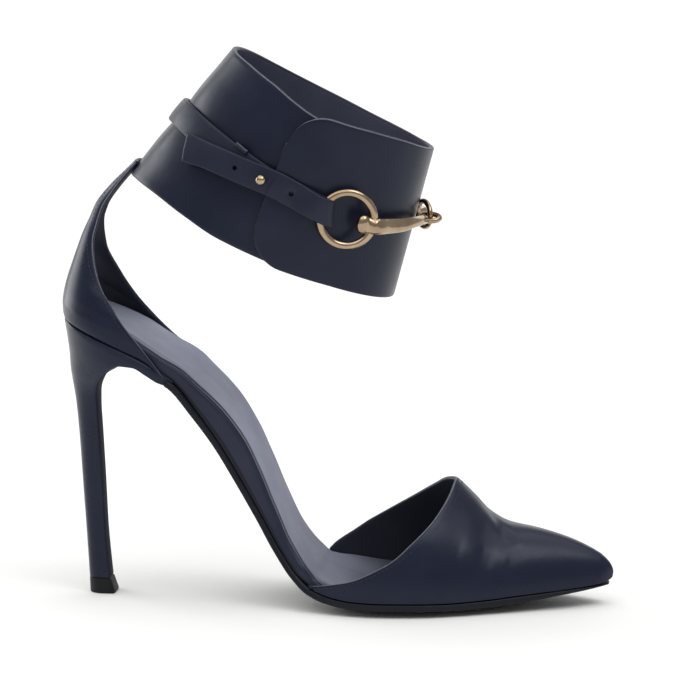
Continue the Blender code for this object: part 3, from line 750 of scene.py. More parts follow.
@dataclass(frozen=True)
class StitchRow:
    """Row of stitches along a line, made by a node tree.

    Attributes:
        pitch: Distance from stitch to stitch.
        length: Length of a stitch.
        thick: Diameter of the thread.
    """

    pitch: float = 1.9
    length: float = 1.35
    thick: float = 0.3
    # Form of a stitch before it is stretched, one wide.
    BALL = (("Segments", 8), ("Rings", 6), ("Radius", 0.5))

    def tree(self) -> NodeTree:
        """Node tree that sets stitches along a line.

        Returns:
            The tree, with inputs for the pitch, the size of a stitch and the material.
        """
        name = "stitches_along_line"
        if name in bpy.data.node_groups:
            return bpy.data.node_groups[name]
        tree = bpy.data.node_groups.new(name, "GeometryNodeTree")
        for label, kind in (("Line", "NodeSocketGeometry"), ("Pitch", "NodeSocketFloat"),
                            ("Stitch Size", "NodeSocketVector"), ("Thread", "NodeSocketMaterial")):
            tree.interface.new_socket(label, in_out="INPUT", socket_type=kind)
        tree.interface.new_socket("Stitches", in_out="OUTPUT", socket_type="NodeSocketGeometry")
        add = tree.nodes.new
        start, end = add("NodeGroupInput"), add("NodeGroupOutput")
        curve, points = add("GeometryNodeMeshToCurve"), add("GeometryNodeCurveToPoints")
        points.mode = "LENGTH"
        turn = add("FunctionNodeAlignRotationToVector")
        turn.axis = "Z"
        stitch = add("GeometryNodeMeshUVSphere")
        for label, value in self.BALL:
            stitch.inputs[label].default_value = value
        place, real = add("GeometryNodeInstanceOnPoints"), add("GeometryNodeRealizeInstances")
        smooth, dress = add("GeometryNodeSetShadeSmooth"), add("GeometryNodeSetMaterial")
        for node, output, target, socket in (
                (start, "Line", curve, "Mesh"),
                (curve, "Curve", points, "Curve"),
                (start, "Pitch", points, "Length"),
                (points, "Tangent", turn, "Vector"),
                (points, "Points", place, "Points"),
                (stitch, "Mesh", place, "Instance"),
                (turn, "Rotation", place, "Rotation"),
                (start, "Stitch Size", place, "Scale"),
                (place, "Instances", real, "Geometry"),
                (real, "Geometry", smooth, "Geometry"),
                (smooth, "Geometry", dress, "Geometry"),
                (start, "Thread", dress, "Material"),
                (dress, "Geometry", end, "Stitches")):
            tree.links.new(node.outputs[output], target.inputs[socket])
        return tree

    def sew(self, name: str, lines: list[Array], origin: Array,
            thread: Material) -> Object:
        """Sew along lines.

        Args:
            name: Name of the piece.
            lines: Points of each line in millimetres.
            origin: Shift into the part's frame in millimetres.
            thread: Material of the stitches.

        Returns:
            All stitches as one plain mesh.
        """
        mesh = bpy.data.meshes.new(name)
        points, edges = [], []
        for line in lines:
            edges += [(len(points) + k, len(points) + k + 1) for k in range(len(line) - 1)]
            points += ((line + origin) * MM).tolist()
        mesh.from_pydata(points, edges, [])
        made = stand(name, mesh)
        needle = made.modifiers.new("stitches", "NODES")
        needle.node_group = self.tree()
        sizes = {"Pitch": self.pitch * MM, "Thread": thread,
                 "Stitch Size": (self.thick * MM, self.thick * MM, self.length * MM)}
        for item in needle.node_group.interface.items_tree:
            if item.in_out == "INPUT" and item.name in sizes:
                needle[item.identifier] = sizes[item.name]
        bake(made)
        return made


@dataclass
class Shop:
    """Makes pieces in the part's frame, dresses them and settles them.

    Attributes:
        origin: Shift into the part's frame in millimetres.
        wardrobe: Finishes.
        upper: Slot of the upper's leather.
    """

    origin: Array
    wardrobe: Wardrobe = field(default_factory=Wardrobe)
    upper: str = "upper_leather"

    def make(self, draft: Draft, name: str, finishes: str, crisp: float = CRISP) -> Object:
        """Make a draft's piece in finishes named in the order of Skin."""
        return draft.make(name, self.origin, self.wardrobe.set_of(finishes), crisp)

    def sew(self, name: str, lines: list[Array]) -> None:
        """Sew stitches along lines and settle them."""
        thread, = self.wardrobe.set_of("thread")
        settle(StitchRow().sew(name, lines, self.origin, thread), self.upper)


@dataclass
class Last:
    """Form under the foot: tread in side view and outline in plan.

    Attributes:
        tread: Height of the tread and lift of its edges.
        outline: Half widths on both sides of the foot.
        tip: Foremost station.
        flat: Share of the width that lies flat on the floor.
        seat_back: Rearmost station.
        seat_round: Length of the round back of the seat.
        seat_front: Where the seat begins to lean.
        seat_lean: Backward lean of the seat's layers.
        inner_back: How far inner layers stand back behind.
    """

    tread: Chart = Chart("x z edge", (
        (-122, 115.08, 0), (-113, 111, 0), (-100, 105.1, 0), (-87, 99.2, 0),
        (-74, 93.3, 0), (-66, 88.9, 0), (-57, 78, 0), (-48, 65.3, 0.2),
        (-40, 51.8, 0.4), (-31.5, 37, 0.6), (-23.3, 22.6, 0.8), (-15.8, 11.8, 1.2),
        (-9, 5.6, 1.8), (0, 2, 2.4), (10, 0.4, 2.8), (20, 0, 3), (45, 0, 2.8),
        (60, 0.9, 2.2), (75, 2.6, 1.5), (98, 6.2, 0.7), (112.8, 9, 0.2)))
    outline: Chart = Chart("x outer inner", (
        (-122, 25.6, 25.2), (-78, 25.6, 25.2), (-66, 25.2, 24.2), (-57, 24.2, 22.8),
        (-48, 23, 21.5), (-40, 22.5, 21), (-31, 23, 20.6), (-23, 25, 21.8),
        (-16, 27.5, 24.6), (-9, 31, 28.4), (0, 34.5, 33.4), (10, 37, 37.5),
        (20, 38, 38.5), (35, 36.5, 38), (50, 32, 35), (65, 25.5, 29.5),
        (80, 18.5, 22.5), (95, 11.3, 14.6), (105, 6.3, 9.2), (110, 3.4, 6.2), (112.8, 0.6, 3.4)))
    tip: float = 112.8
    flat: float = 0.45
    seat_back: float = -113.0
    seat_round: float = 26.0
    seat_front: float = -66.0
    seat_lean: float = 0.41
    inner_back: float = 3.7

    def point(self, x: Array, y: Array, height: Array, half: Array) -> Array:
        """Points over the tread.

        Args:
            x: Stations.
            y: Sideways places.
            height: Heights over the tread along its normal.
            half: Half widths at the stations.

        Returns:
            The points.
        """
        x, y, height, half = np.broadcast_arrays(*(np.asarray(v, dtype=float) for v in (x, y, height, half)))
        step = 0.5
        front = np.minimum(x + step, self.tip)
        rise = self.tread.read("z", front) - self.tread.read("z", x - step)
        run = front - x + step
        length = np.hypot(rise, run)
        reach = np.minimum(np.abs(y) / np.maximum(half, 1.0), 1.0)
        lift = self.tread.read("edge", x) * (np.maximum(reach - self.flat, 0.0) / (1.0 - self.flat)) ** 2
        z = self.tread.read("z", x) + run / length * height + lift
        return np.stack([x - rise / length * height, y, z], axis=-1)

    def half_width(self, x: float, side: Side, inset: float) -> float:
        """Half width on one side, round at the back of the seat."""
        back = self.seat_back + (self.inner_back if inset > 0.0 else 0.0)
        reach = held((x - back) / self.seat_round)
        return (self.outline.number(side.label, x) - inset) * float(rounded(reach))


@dataclass
class Bottom:
    """Outsole, covered waist edge and padded sock.

    Attributes:
        last: Form under the foot.
        layers: Insets of the inner layers, height of the board, width of the rolled
            margin that the cover lays over the waist's edge, and rise of the inner arch.
        sole_thick: Thickness of the outsole.
        thin_from: Where the outsole begins to thin out to the tip.
        thin_share: Share of its thickness that it loses there.
        sole_tip: Front end of the outsole's full section.
        tip_inset: How far the outsole stands back under the tip.
        fit: Gap between layers.
        sock_thick: Thickness of the sock.
        breast_x: Back end of the outsole.
        board_front: Front end of the board.
        sock_front: Front end of the sock.
        corner: Corner radius of the layers.
        roll: Corner radius of the rolled margin.
        step: How far the sock stands over the margin.
        crown: Rise of the sock's middle.
        flat_points: Points across a face.
        arc_points: Points of a corner.
        wall_points: Points of a side wall.
    """

    last: Last
    layers: Chart = Chart("x outer inner top margin arch", (
        (-122, 2.9, 2.9, 9.6, 0, 0), (-88, 2.9, 3, 10.4, 0.4, 0),
        (-83, 2.9, 3, 10.3, 0.8, 0),
        (-76, 2.9, 3.2, 8.6, 1.6, 0.5), (-70, 2.8, 3.4, 7.3, 2.2, 1.4),
        (-64, 2.2, 3.3, 7.1, 2.9, 1.9),
        (-58, 1.3, 2.5, 8.7, 3.4, 1.7), (-52, 0.6, 1.4, 9.8, 3.7, 1.2),
        (-46, 0.25, 0.5, 10.1, 3.8, 0.3),
        (-40, 0.2, 0.2, 9.2, 3.8, 0),
        (-31, 0.2, 0.2, 7, 3.8, 0), (-23, 0.2, 0.2, 5.8, 3.6, 0),
        (-17, 0.2, 0.2, 5.9, 3, 0),
        (-10, 3.2, 3.2, 6, 1.2, 0), (0, 3.3, 3.3, 5.8, 0, 0), (18, 3.4, 3.4, 4, 0, 0),
        (88, 3.6, 3.6, 3, 0, 0)))
    sole_thick: float = 2.7
    thin_from: float = 70.0
    thin_share: float = 0.72
    sole_tip: float = 109.9
    tip_inset: float = 2.1
    fit: float = 0.3
    sock_thick: float = 2.2
    breast_x: float = -67.6
    board_front: float = 18.0
    sock_front: float = 88.0
    corner: float = 0.7
    roll: float = 2.3
    step: float = 0.4
    crown: float = 0.5
    flat_points: int = 23
    arc_points: int = 9
    wall_points: int = 19
    # Stations of the sole to the toe and in it, of the seat, the board and the sock.
    SOLE_COUNTS, SEAT_COUNT, BOARD_COUNT, SOCK_COUNT = (110, 26), 22, 90, 42
    # Strips of the cover's and the sock's corner with a painted highlight line, and dark strips of the cover:
    # edge dressing, widened as painted shade.
    COVER_RUB, SOCK_RUB, DRESSED = range(1, 2), range(3, 5), 4
    # Largest corner, flatness of the crown, slack of the arch, rings of a front end.
    CORNER_SHARE, CROWN_POWER, ARCH_SLACK, NOSE = 0.45, 2.5, 0.1, ((0.85, 0.25), (0.55, 0.45))
    # Start of the toe, turns of the seat in radians, sink of the cover, gap under the sock.
    TOE, SEAT_TURN, COVER_SINK, SOCK_GAP = 95.0, (0.08, 1.25), 0.25, 0.05

    def share(self, x: float) -> float:
        """Share of the full rolled margin at a station."""
        return self.layers.number("margin", x) / self.layers.column("margin").max()

    def board_top(self, x: float) -> float:
        """Height of the board's upper face."""
        return self.layers.number("top", x)

    def cover_top(self, x: float) -> float:
        """Height of the cover's upper face, up to the sock where it is rolled over."""
        return self.board_top(x) + (self.fit + self.sock_thick - self.step) * self.share(x)

    def sole_top(self, x: float) -> float:
        """Height of the outsole's upper face."""
        thin = float(ease((x - self.thin_from) / (self.last.tip - self.thin_from)))
        return self.sole_thick * (1.0 - self.thin_share * thin)

    def section(self, x: float, low: float, high: float, inset: dict[Side, float], crown: float,
                corner: float) -> Array:
        """Ring of points round a layer at one station.

        Args:
            x: The station.
            low: Height of the lower face.
            high: Height of the upper face.
            inset: Inset on each side.
            crown: Rise of the middle of the upper face.
            corner: Radius of the upper corners.

        Returns:
            The ring.
        """
        last, flat = self.last, self.flat_points
        outer, inner = (last.half_width(x, side, inset[side]) for side in (Side.OUTER, Side.INNER))
        most = self.CORNER_SHARE * min(high - low, outer, inner)
        top, foot = min(corner, most), min(self.corner, most)
        arc = quarter(self.arc_points)
        wall = np.linspace(low + foot, high - top, self.wall_points + 2)[1:-1]
        below = np.linspace(-outer + foot, inner - foot, flat)
        above = np.linspace(inner - top, -outer + top, flat)
        swell = crown * (1.0 - np.clip(np.abs(above) / max(outer, inner), 0.0, 1.0) ** self.CROWN_POWER)
        straight = np.ones(self.wall_points)
        y = np.concatenate([below, inner - foot + foot * np.sin(arc), inner * straight,
                            inner - top + top * np.cos(arc), above, -outer + top - top * np.sin(arc),
                            -outer * straight, -outer + foot - foot * np.cos(arc)])
        h = np.concatenate([np.full(flat, low), low + foot - foot * np.cos(arc), wall,
                            high - top + top * np.sin(arc), high + swell, high - top + top * np.cos(arc),
                            wall[::-1], low + foot - foot * np.sin(arc)])
        board = self.board_top(x) - self.sole_thick + self.ARCH_SLACK
        over = np.clip((h - self.sole_thick) / board, 0.0, 1.0)
        h = h + self.layers.number("arch", x) * np.clip(y / inner, 0.0, 1.0) * over
        half = np.where(y < 0.0, last.outline.read("outer", x), last.outline.read("inner", x))
        seat = held((last.seat_front - x) / last.seat_round)
        return last.point(x - last.seat_lean * h * seat, y, h, half)

    def skins(self, highlighted: range, inked_and_shaded: int) -> list[Skin]:
        """Skins of a layer's strips.

        Args:
            highlighted: Strips of the upper corner, counted from the upper face, that carry a painted
                highlight line.
            inked_and_shaded: Number of wall strips, counted from below, in the dark edge dressing, which also
                stands in as painted shade.

        Returns:
            The skin after each ring point.
        """
        side = [Skin.EDGE] * (2 * self.arc_points + self.wall_points + 1)
        for strip in highlighted:
            side[1 + strip] = Skin.WORN
        # Low wall strips take the dark dressing: real edge dressing, widened to serve as painted shade.
        if inked_and_shaded:
            side[-self.arc_points - inked_and_shaded:] = [Skin.LINING] * (self.arc_points + inked_and_shaded)
        face = [Skin.FACE] * (self.flat_points - 1)
        return face + side[::-1] + face + side

    def layer(self, stations: Array, low: Callable[[float], float], high: Callable[[float], float],
              inset: Callable[[float, Side], float], crown: float, highlighted: range, inked_and_shaded: int = 0) -> Draft:
        """One layer of the bottom.

        Args:
            stations: Stations from back to front.
            low: Height of the lower face at a station.
            high: Height of the upper face at a station.
            inset: Inset at a station on a side.
            crown: Rise of the middle of the upper face.
            highlighted: Strips of the upper corner that carry a painted highlight line.
            inked_and_shaded: Number of wall strips, from below, in the dark edge dressing, which also stands
                in as painted shade.

        Returns:
            The layer's draft; its walls have the edge skin.
        """
        rings = [self.section(x, low(x), high(x), {side: inset(x, side) for side in Side}, crown,
                              self.corner + (self.roll - self.corner) * self.share(x)) for x in stations]
        middle = rings[-1].mean(axis=0)
        rings += [middle + (rings[-1] - middle) * size + np.array([ahead, 0.0, 0.0])
                  for size, ahead in self.NOSE]
        return Draft().loft(np.array(rings), self.skins(highlighted, inked_and_shaded), Skin.EDGE)

    def build(self, shop: Shop) -> None:
        """Build and dress the layers.

        Args:
            shop: Where pieces are made.
        """
        last, floor, tip_run = self.last, self.sole_thick + self.fit, self.sole_tip - self.TOE
        full, tip = self.SOLE_COUNTS
        sole_x = np.concatenate([np.linspace(self.breast_x, self.TOE, full),
                                 self.TOE + tip_run * np.sin(quarter(tip))[1:]])
        turn = np.linspace(*self.SEAT_TURN, self.SEAT_COUNT)
        seat_x = last.seat_back + last.inner_back + last.seat_round * (1.0 - np.cos(turn))
        board_x = np.concatenate([seat_x, np.linspace(seat_x[-1], self.board_front, self.BOARD_COUNT)[1:]])
        sock_x = np.linspace(self.board_front, self.sock_front, self.SOCK_COUNT)
        sock_x = np.concatenate([board_x, sock_x[1:]])

        def tip_inset(x: float, side: Side) -> float:
            """Inset of the outsole."""
            return self.tip_inset * float(ease((x - self.TOE) / tip_run))

        def inset(x: float, side: Side) -> float:
            """Inset of the cover."""
            return self.layers.number(side.label, x)

        sole = self.layer(sole_x, lambda x: 0.0, self.sole_top, tip_inset, 0.0, range(0))
        settle(shop.make(sole, "sole", "sole sole_edge"), "sole_leather", "outsole")
        cover = self.layer(board_x, lambda x: floor - self.COVER_SINK, self.cover_top, inset, 0.0,
                           self.COVER_RUB, self.DRESSED)
        settle(shop.make(cover, "waist_cover", "rand rand sole_edge worn"), shop.upper, "waist_rand")
        sock = self.layer(sock_x, lambda x: max(self.cover_top(x), floor) + self.SOCK_GAP,
                          lambda x: max(self.board_top(x), floor) + self.fit + self.sock_thick,
                          lambda x, side: inset(x, side) + self.layers.number("margin", x),
                          self.crown, self.SOCK_RUB)
        settle(shop.make(sock, "sock", "sock sock sock worn"), "insole_leather", "insole")


@dataclass
class Vamp:
    """Pointed toe upper with a V throat and folded topline.

    Attributes:
        last: Form under the foot.
        ridge: Ridge in side view, its sideways place and how tent-like it is.
        mouths: Edge of the mouth from each wing tip to the peak.
        wall: Thickness of leather and lining.
        feather: Inset of the lower edge.
        base: Height of the lower edge over the tread.
        base_drop: How far it sinks to the tip, where the outsole thins out.
        drop_from: Where it begins to sink.
        front: Foremost of the even stations.
        tip: Foremost section of the nose.
        nose_from: Where the nose begins to round off.
        nose_z: Height of its point.
        steps: Strakes between two rows of a mouth chart.
        stations: Stations from mouth to tip.
        lined: Stations that have a lining.
        turn: How soon strakes turn to the toe's section.
        crowd: Crowding of stations to the tip.
        folds: Creases of the leather.
        stitch_at: Distance of the topline stitches from the edge.
    """

    last: Last
    ridge: Chart = Chart("x z y tent", (
        (-12, 70, 0, 1.3), (10, 68, 0, 1.4), (30, 62, 0, 1.5), (42, 55.5, 0.5, 1.5),
        (48.9, 50.5, 1, 1.5), (55.9, 43.6, 1.4, 1.35), (61.2, 37.7, 1.7, 1.2), (69.4, 32.8, 2.1, 1.05),
        (81.1, 30.4, 2.3, 1), (93.7, 26.9, 2, 1), (103, 22.9, 1.7, 0.95), (106, 21.2, 1.6, 0.95),
        (108.6, 19.8, 1.5, 0.95), (110.5, 19.1, 1.45, 0.95), (112.8, 18.5, 1.4, 0.95)))
    mouths: dict[Side, Chart] = field(default_factory=lambda: {
        Side.OUTER: Chart("x z", (
            (-9.4, 0), (-8.6, 10.3), (-4, 11.3), (1.5, 12.4), (9.6, 14.3), (18, 18), (26, 22.4),
            (33.4, 28.7), (42.5, 38), (47.3, 45.8), (48.9, 50.5))),
        Side.INNER: Chart("x z", (
            (-9, 0), (-8.4, 13), (-6, 16.2), (2, 21.2), (10, 26.2), (18, 31),
            (28, 37.4), (37.5, 44), (44.4, 49), (48.9, 50.5)))})
    wall: float = 1.8
    feather: float = 0.8
    base: float = 3.0
    base_drop: float = 1.95
    drop_from: float = 70.0
    front: float = 108.5
    tip: float = 111.95
    nose_from: float = 106.3
    nose_z: float = 12.9
    steps: int = 6
    stations: int = 84
    lined: int = 70
    turn: float = 1.5
    crowd: float = 0.35
    folds: tuple[Fold, ...] = (
        Fold(((60.5, 0.5, 37.0), (63.6, -2.0, 34.0), (66.4, -6.2, 30.8), (69.6, -10.2, 27.7),
              (73.4, -12.3, 24.9)), 2.4, 0.6),
        Fold(((65.5, 1.0, 32.8), (69.6, -5.2, 29.9), (73.6, -10.1, 26.5), (76.7, -12.7, 23.4)), 3.4, -0.3),
        Fold(((54.3, -2.0, 44.0), (59.0, -3.0, 38.0), (62.2, -5.9, 33.6), (64.0, -11.2, 29.8)), 3.6, -0.35),
        Fold(((51.2, -25.7, 25.1), (55.5, -24.3, 23.3), (59.5, -23.0, 21.1)), 6.5, -0.32),
        Fold(((64.3, -19.2, 22.5), (67.5, -18.7, 20.8), (71.1, -18.0, 19.5)), 5.5, -0.3),
        Fold(((57.0, -21.5, 26.0), (61.5, -20.8, 22.0), (64.0, -20.5, 17.0)), 3.0, 0.18),
        Fold(((30.0, -33.2, 26.0), (36.4, -30.2, 29.0), (42.2, -27.3, 30.5)), 5.0, -0.25),
    )
    stitch_at: float = 2.2
    # Strakes without stitches at a wing, and stations of the nose.
    STITCH_SKIP, NOSE_COUNT = 4, 15
    # Least half width, share of the nose that is used, and how late its lower edge rises.
    LEAST_HALF, PAST_MOST, NOSE_POWER = 0.4, 0.995, 0.4

    def point(self, x: Array, angle: Array, side: Side) -> Array:
        """Points of the outer face.

        Args:
            x: Stations.
            angle: Angles up from the base.
            side: Side of the foot.

        Returns:
            The points.
        """
        half = np.maximum(self.last.outline.read(side.label, x) - self.feather, self.LEAST_HALF)
        sunk = ease((np.asarray(x) - self.drop_from) / (self.last.tip - self.drop_from))
        base = self.last.point(x, side.value * half, self.base - self.base_drop * sunk, half)
        ridge_y, ridge_z, tent = (self.ridge.read(name, x) for name in ("y", "z", "tent"))
        past = (np.asarray(x) - self.nose_from) / (self.tip - self.nose_from)
        past = np.clip(past, 0.0, self.PAST_MOST)
        kept = np.sqrt(1.0 - past * past)
        low = self.nose_z + (base[..., 2] - self.nose_z) * kept ** self.NOSE_POWER
        high = self.nose_z + (ridge_z - self.nose_z) * kept
        y = ridge_y + (base[..., 1] - ridge_y) * kept * np.maximum(np.cos(angle), 0.0) ** tent
        lean = (base[..., 0] - x) * (1.0 - np.sin(angle))
        return np.stack([x + lean, y, low + (high - low) * np.sin(angle)], axis=-1)

    def faces(self) -> tuple[Array, Array]:
        """Grids of the outer face and of the lining.

        Returns:
            Stations by strakes by three numbers, twice; the lining has fewer stations.
        """
        spread = np.linspace(0.0, 1.0, self.stations)
        spread = spread + self.crowd * spread * (1.0 - spread)
        turn = ease(np.minimum(spread * self.turn, 1.0))
        halves = []
        for side in (Side.OUTER, Side.INNER):
            mouth = self.mouths[side]
            count = len(mouth.rows) - 1
            place = np.linspace(0.0, count, count * self.steps + 1)
            x, z = mouth.along("x", place), mouth.along("z", place)
            low, high = self.point(x, np.zeros(len(x)), side)[:, 2], self.ridge.read("z", x)
            start = np.arcsin(np.clip((z - low) / (high - low), 0.0, 1.0))
            toe = QUARTER * place / count
            rows = [self.point(x + (self.front - x) * u, start + (toe - start) * t, side)
                    for u, t in zip(spread, turn)]
            nose = self.front + (self.tip - self.front) * np.sin(quarter(self.NOSE_COUNT))[1:]
            rows += [self.point(np.full(len(x), u), toe, side) for u in nose]
            halves.append(np.stack(rows))
        outer = np.concatenate([halves[0], halves[1][:, -2::-1]], axis=1)
        outward = normals(outer)
        middle = outer.mean(axis=1, keepdims=True)
        if np.sum(outward * (outer - middle)) < 0.0:
            outward = -outward
        inner = (outer - outward * self.wall)[:self.lined]
        for edge in (0, -1):
            inner[:, edge, 2] = outer[:self.lined, edge, 2]
        sink = sum(fold.sink(outer) for fold in self.folds)
        return outer - outward * sink[..., None], inner

    def build(self, shop: Shop) -> None:
        """Build and dress the vamp and its topline stitches.

        Args:
            shop: Where pieces are made.
        """
        outer, inner = self.faces()
        draft = Draft()
        out, inn = draft.add(outer), draft.add(inner)
        draft.quads(out)
        draft.quads(inn, Skin.LINING)
        beside = 0.5 * (outer[1] + inner[1])
        lip = np.concatenate([out[:1], draft.add(rim(outer[0], inner[0], beside, 1.0)), inn[:1]])
        draft.lip(lip)
        for edge in (0, -1):
            draft.polygon(list(lip[:, edge]), Skin.EDGE)
            draft.quads(np.stack([out[:self.lined, edge], inn[:, edge]], axis=1), Skin.LINING)
        end = self.lined - 1
        corners = [out[end, 0], out[end + 1, 0], out[end + 1, -1], out[end, -1], inn[end, -1], inn[end, 0]]
        draft.polygon(corners, Skin.LINING)
        draft.quads(out[end + 1:, [0, -1]], Skin.LINING)
        draft.polygon(list(out[-1]), Skin.FACE)
        draft.polygon(list(inn[end]), Skin.LINING)
        settle(shop.make(draft, "toe_upper", "upper folded lining worn"), shop.upper, "vamp")
        shop.sew("topline_stitches", [self.beside_edge(outer)])

    def beside_edge(self, outer: Array) -> Array:
        """Line that keeps a distance from the mouth.

        Args:
            outer: Grid of the outer face.

        Returns:
            Points of the line from one wing to the other.
        """
        steps = np.linalg.norm(np.diff(outer, axis=0), axis=2)
        run = np.concatenate([np.zeros((1, outer.shape[1])), np.cumsum(steps, axis=0)])
        line = [[np.interp(self.stitch_at, run[:, j], outer[:, j, k]) for k in range(3)]
                for j in range(self.STITCH_SKIP, outer.shape[1] - self.STITCH_SKIP)]
        return np.array(line)


@dataclass
class Counter:
    """Heel upper whose narrow strap climbs to the cuff.

    Attributes:
        levels: Level lines from the back to the outer and to the inner edge.
        wall: Thickness of leather and lining.
        half_points: Points from the back to an edge.
        crowd: Crowding of points at the back.
        rows: Rows from the seat to the strap's end.
        stitch_at: Distance of the topline stitches from the edge.
        arch: Rise of the lower edge by its share from the back to an edge.
        arch_fade: Levels over which the rise runs out.
        tuck: How far the lower edge is drawn in to the heel.
        tuck_fade: Levels over which that runs out.
    """

    levels: Chart = Chart(
        "back_x back_z outer_x outer_z outer_y outer_round inner_x inner_z inner_y inner_round taper", (
            (-111.8, 113.8, -67, 93.6, 25.2, 0.58, -57, 89, 23.2, 0.48, 2),
            (-112.5, 117, -71.5, 99.2, 25.2, 0.62, -59.5, 94.2, 23.3, 0.50, 1.9),
            (-112.7, 121, -78, 106.5, 25.2, 0.75, -65.5, 99.2, 24, 0.56, 1.2),
            (-112.1, 125.5, -84.5, 114.5, 24.8, 0.95, -73, 105.5, 24.3, 0.68, 0.8),
            (-110.7, 131, -89.6, 122.2, 22.6, 1.10, -80.5, 113.2, 23.6, 0.85, 0.2),
            (-109, 136, -94.6, 129.4, 19, 1.30, -87, 121.5, 21, 1.10, 0),
            (-106.9, 142, -97.9, 138.3, 14.6, 1.60, -92.6, 131.5, 17, 1.40, 0),
            (-104.3, 149, -99.3, 146.8, 9.8, 2.00, -97.2, 143.8, 10.2, 1.80, 0),
            (-101.5, 155, -98.2, 153.2, 7.2, 2.40, -98, 152.8, 7.2, 2.20, 0),
            (-98.7, 161.2, -96.2, 159.7, 6, 2.60, -96.2, 159.7, 6, 2.60, 0),
            (-92.7, 168.6, -91.2, 167.5, 5.6, 2.80, -91.2, 167.5, 5.6, 2.80, 0),
            (-86.5, 174.6, -85.6, 174.2, 5.6, 3.00, -85.6, 174.2, 5.6, 3.00, 0),
            (-82.5, 178.6, -81.8, 178.3, 5.6, 3.00, -81.8, 178.3, 5.6, 3.00, 0)))
    wall: float = 1.8
    half_points: int = 25
    crowd: float = 1.7
    rows: int = 110
    stitch_at: float = 2.2
    arch: Chart = Chart("share rise", (
        (0, 0.1), (0.21, 1), (0.435, 1.7), (0.578, 1.9), (0.8, 1.9), (1, -1.4)))
    arch_fade: float = 2.6
    tuck: float = 1.3
    tuck_fade: float = 0.22
    # Rows without stitches below and above.
    STITCH_SKIP = (2, 8)
    # Roundest arc of the fuller inner side, and roundness of the four edges.
    ROUND_MOST, RIMS = 0.9, (0.0, 0.8, 1.0, 1.0)

    def face(self) -> Array:
        """Grid of the outer face.

        Returns:
            Rows from the seat up by points from the outer to the inner edge.
        """
        share = np.linspace(0.0, 1.0, self.half_points) ** self.crowd
        grid = []
        for level in self.levels.places(self.rows):
            row = {name: float(self.levels.along(name, level)) for name in self.levels.names.split()}
            arch = self.arch.read("rise", share) * (1.0 - float(ease(level / self.arch_fade)))
            arcs = []
            for side in (Side.OUTER, Side.INNER):
                end_x, end_z, end_y, bend = (row[f"{side.label}_{k}"] for k in ("x", "z", "y", "round"))
                wide = rounded(np.minimum(share / bend, 1.0)) / float(rounded(min(1.0 / bend, 1.0)))
                left = 1.0 - min(bend, self.ROUND_MOST)
                fuller = ease((1.0 - share) / left) if side is Side.INNER else 0.0
                arcs.append(np.stack([row["back_x"] + share * (end_x - row["back_x"]),
                                      side.value * wide * (end_y + row["taper"] * fuller),
                                      row["back_z"] + share * (end_z - row["back_z"]) + arch], axis=1))
            grid.append(np.concatenate([arcs[0][::-1], arcs[1][1:]]))
        return np.array(grid)

    def build(self, shop: Shop) -> None:
        """Build and dress the counter and its stitches.

        Args:
            shop: Where pieces are made.
        """
        outer = self.face()
        outward = normals(outer)
        if outward[0, self.half_points - 1, 0] > 0.0:
            outward = -outward
        level = self.levels.places(self.rows)[:, None, None]
        outer = outer - outward * self.tuck * bell(level, self.tuck_fade)
        draft = Draft().sheet(outer, outer - outward * self.wall, self.RIMS)
        settle(shop.make(draft, "heel_upper", "upper folded lining worn"), shop.upper, "counter")
        lines = []
        low, high = self.STITCH_SKIP
        for edge in (outer[:, :self.half_points], outer[:, :self.half_points - 2:-1]):
            run = np.cumsum(np.linalg.norm(np.diff(edge, axis=1, prepend=edge[:, :1]), axis=2), axis=1)
            lines.append(np.array([[np.interp(self.stitch_at, run[i], edge[i, :, k]) for k in range(3)]
                                   for i in range(low, len(edge) - high)]))
        shop.sew("counter_stitches", lines)


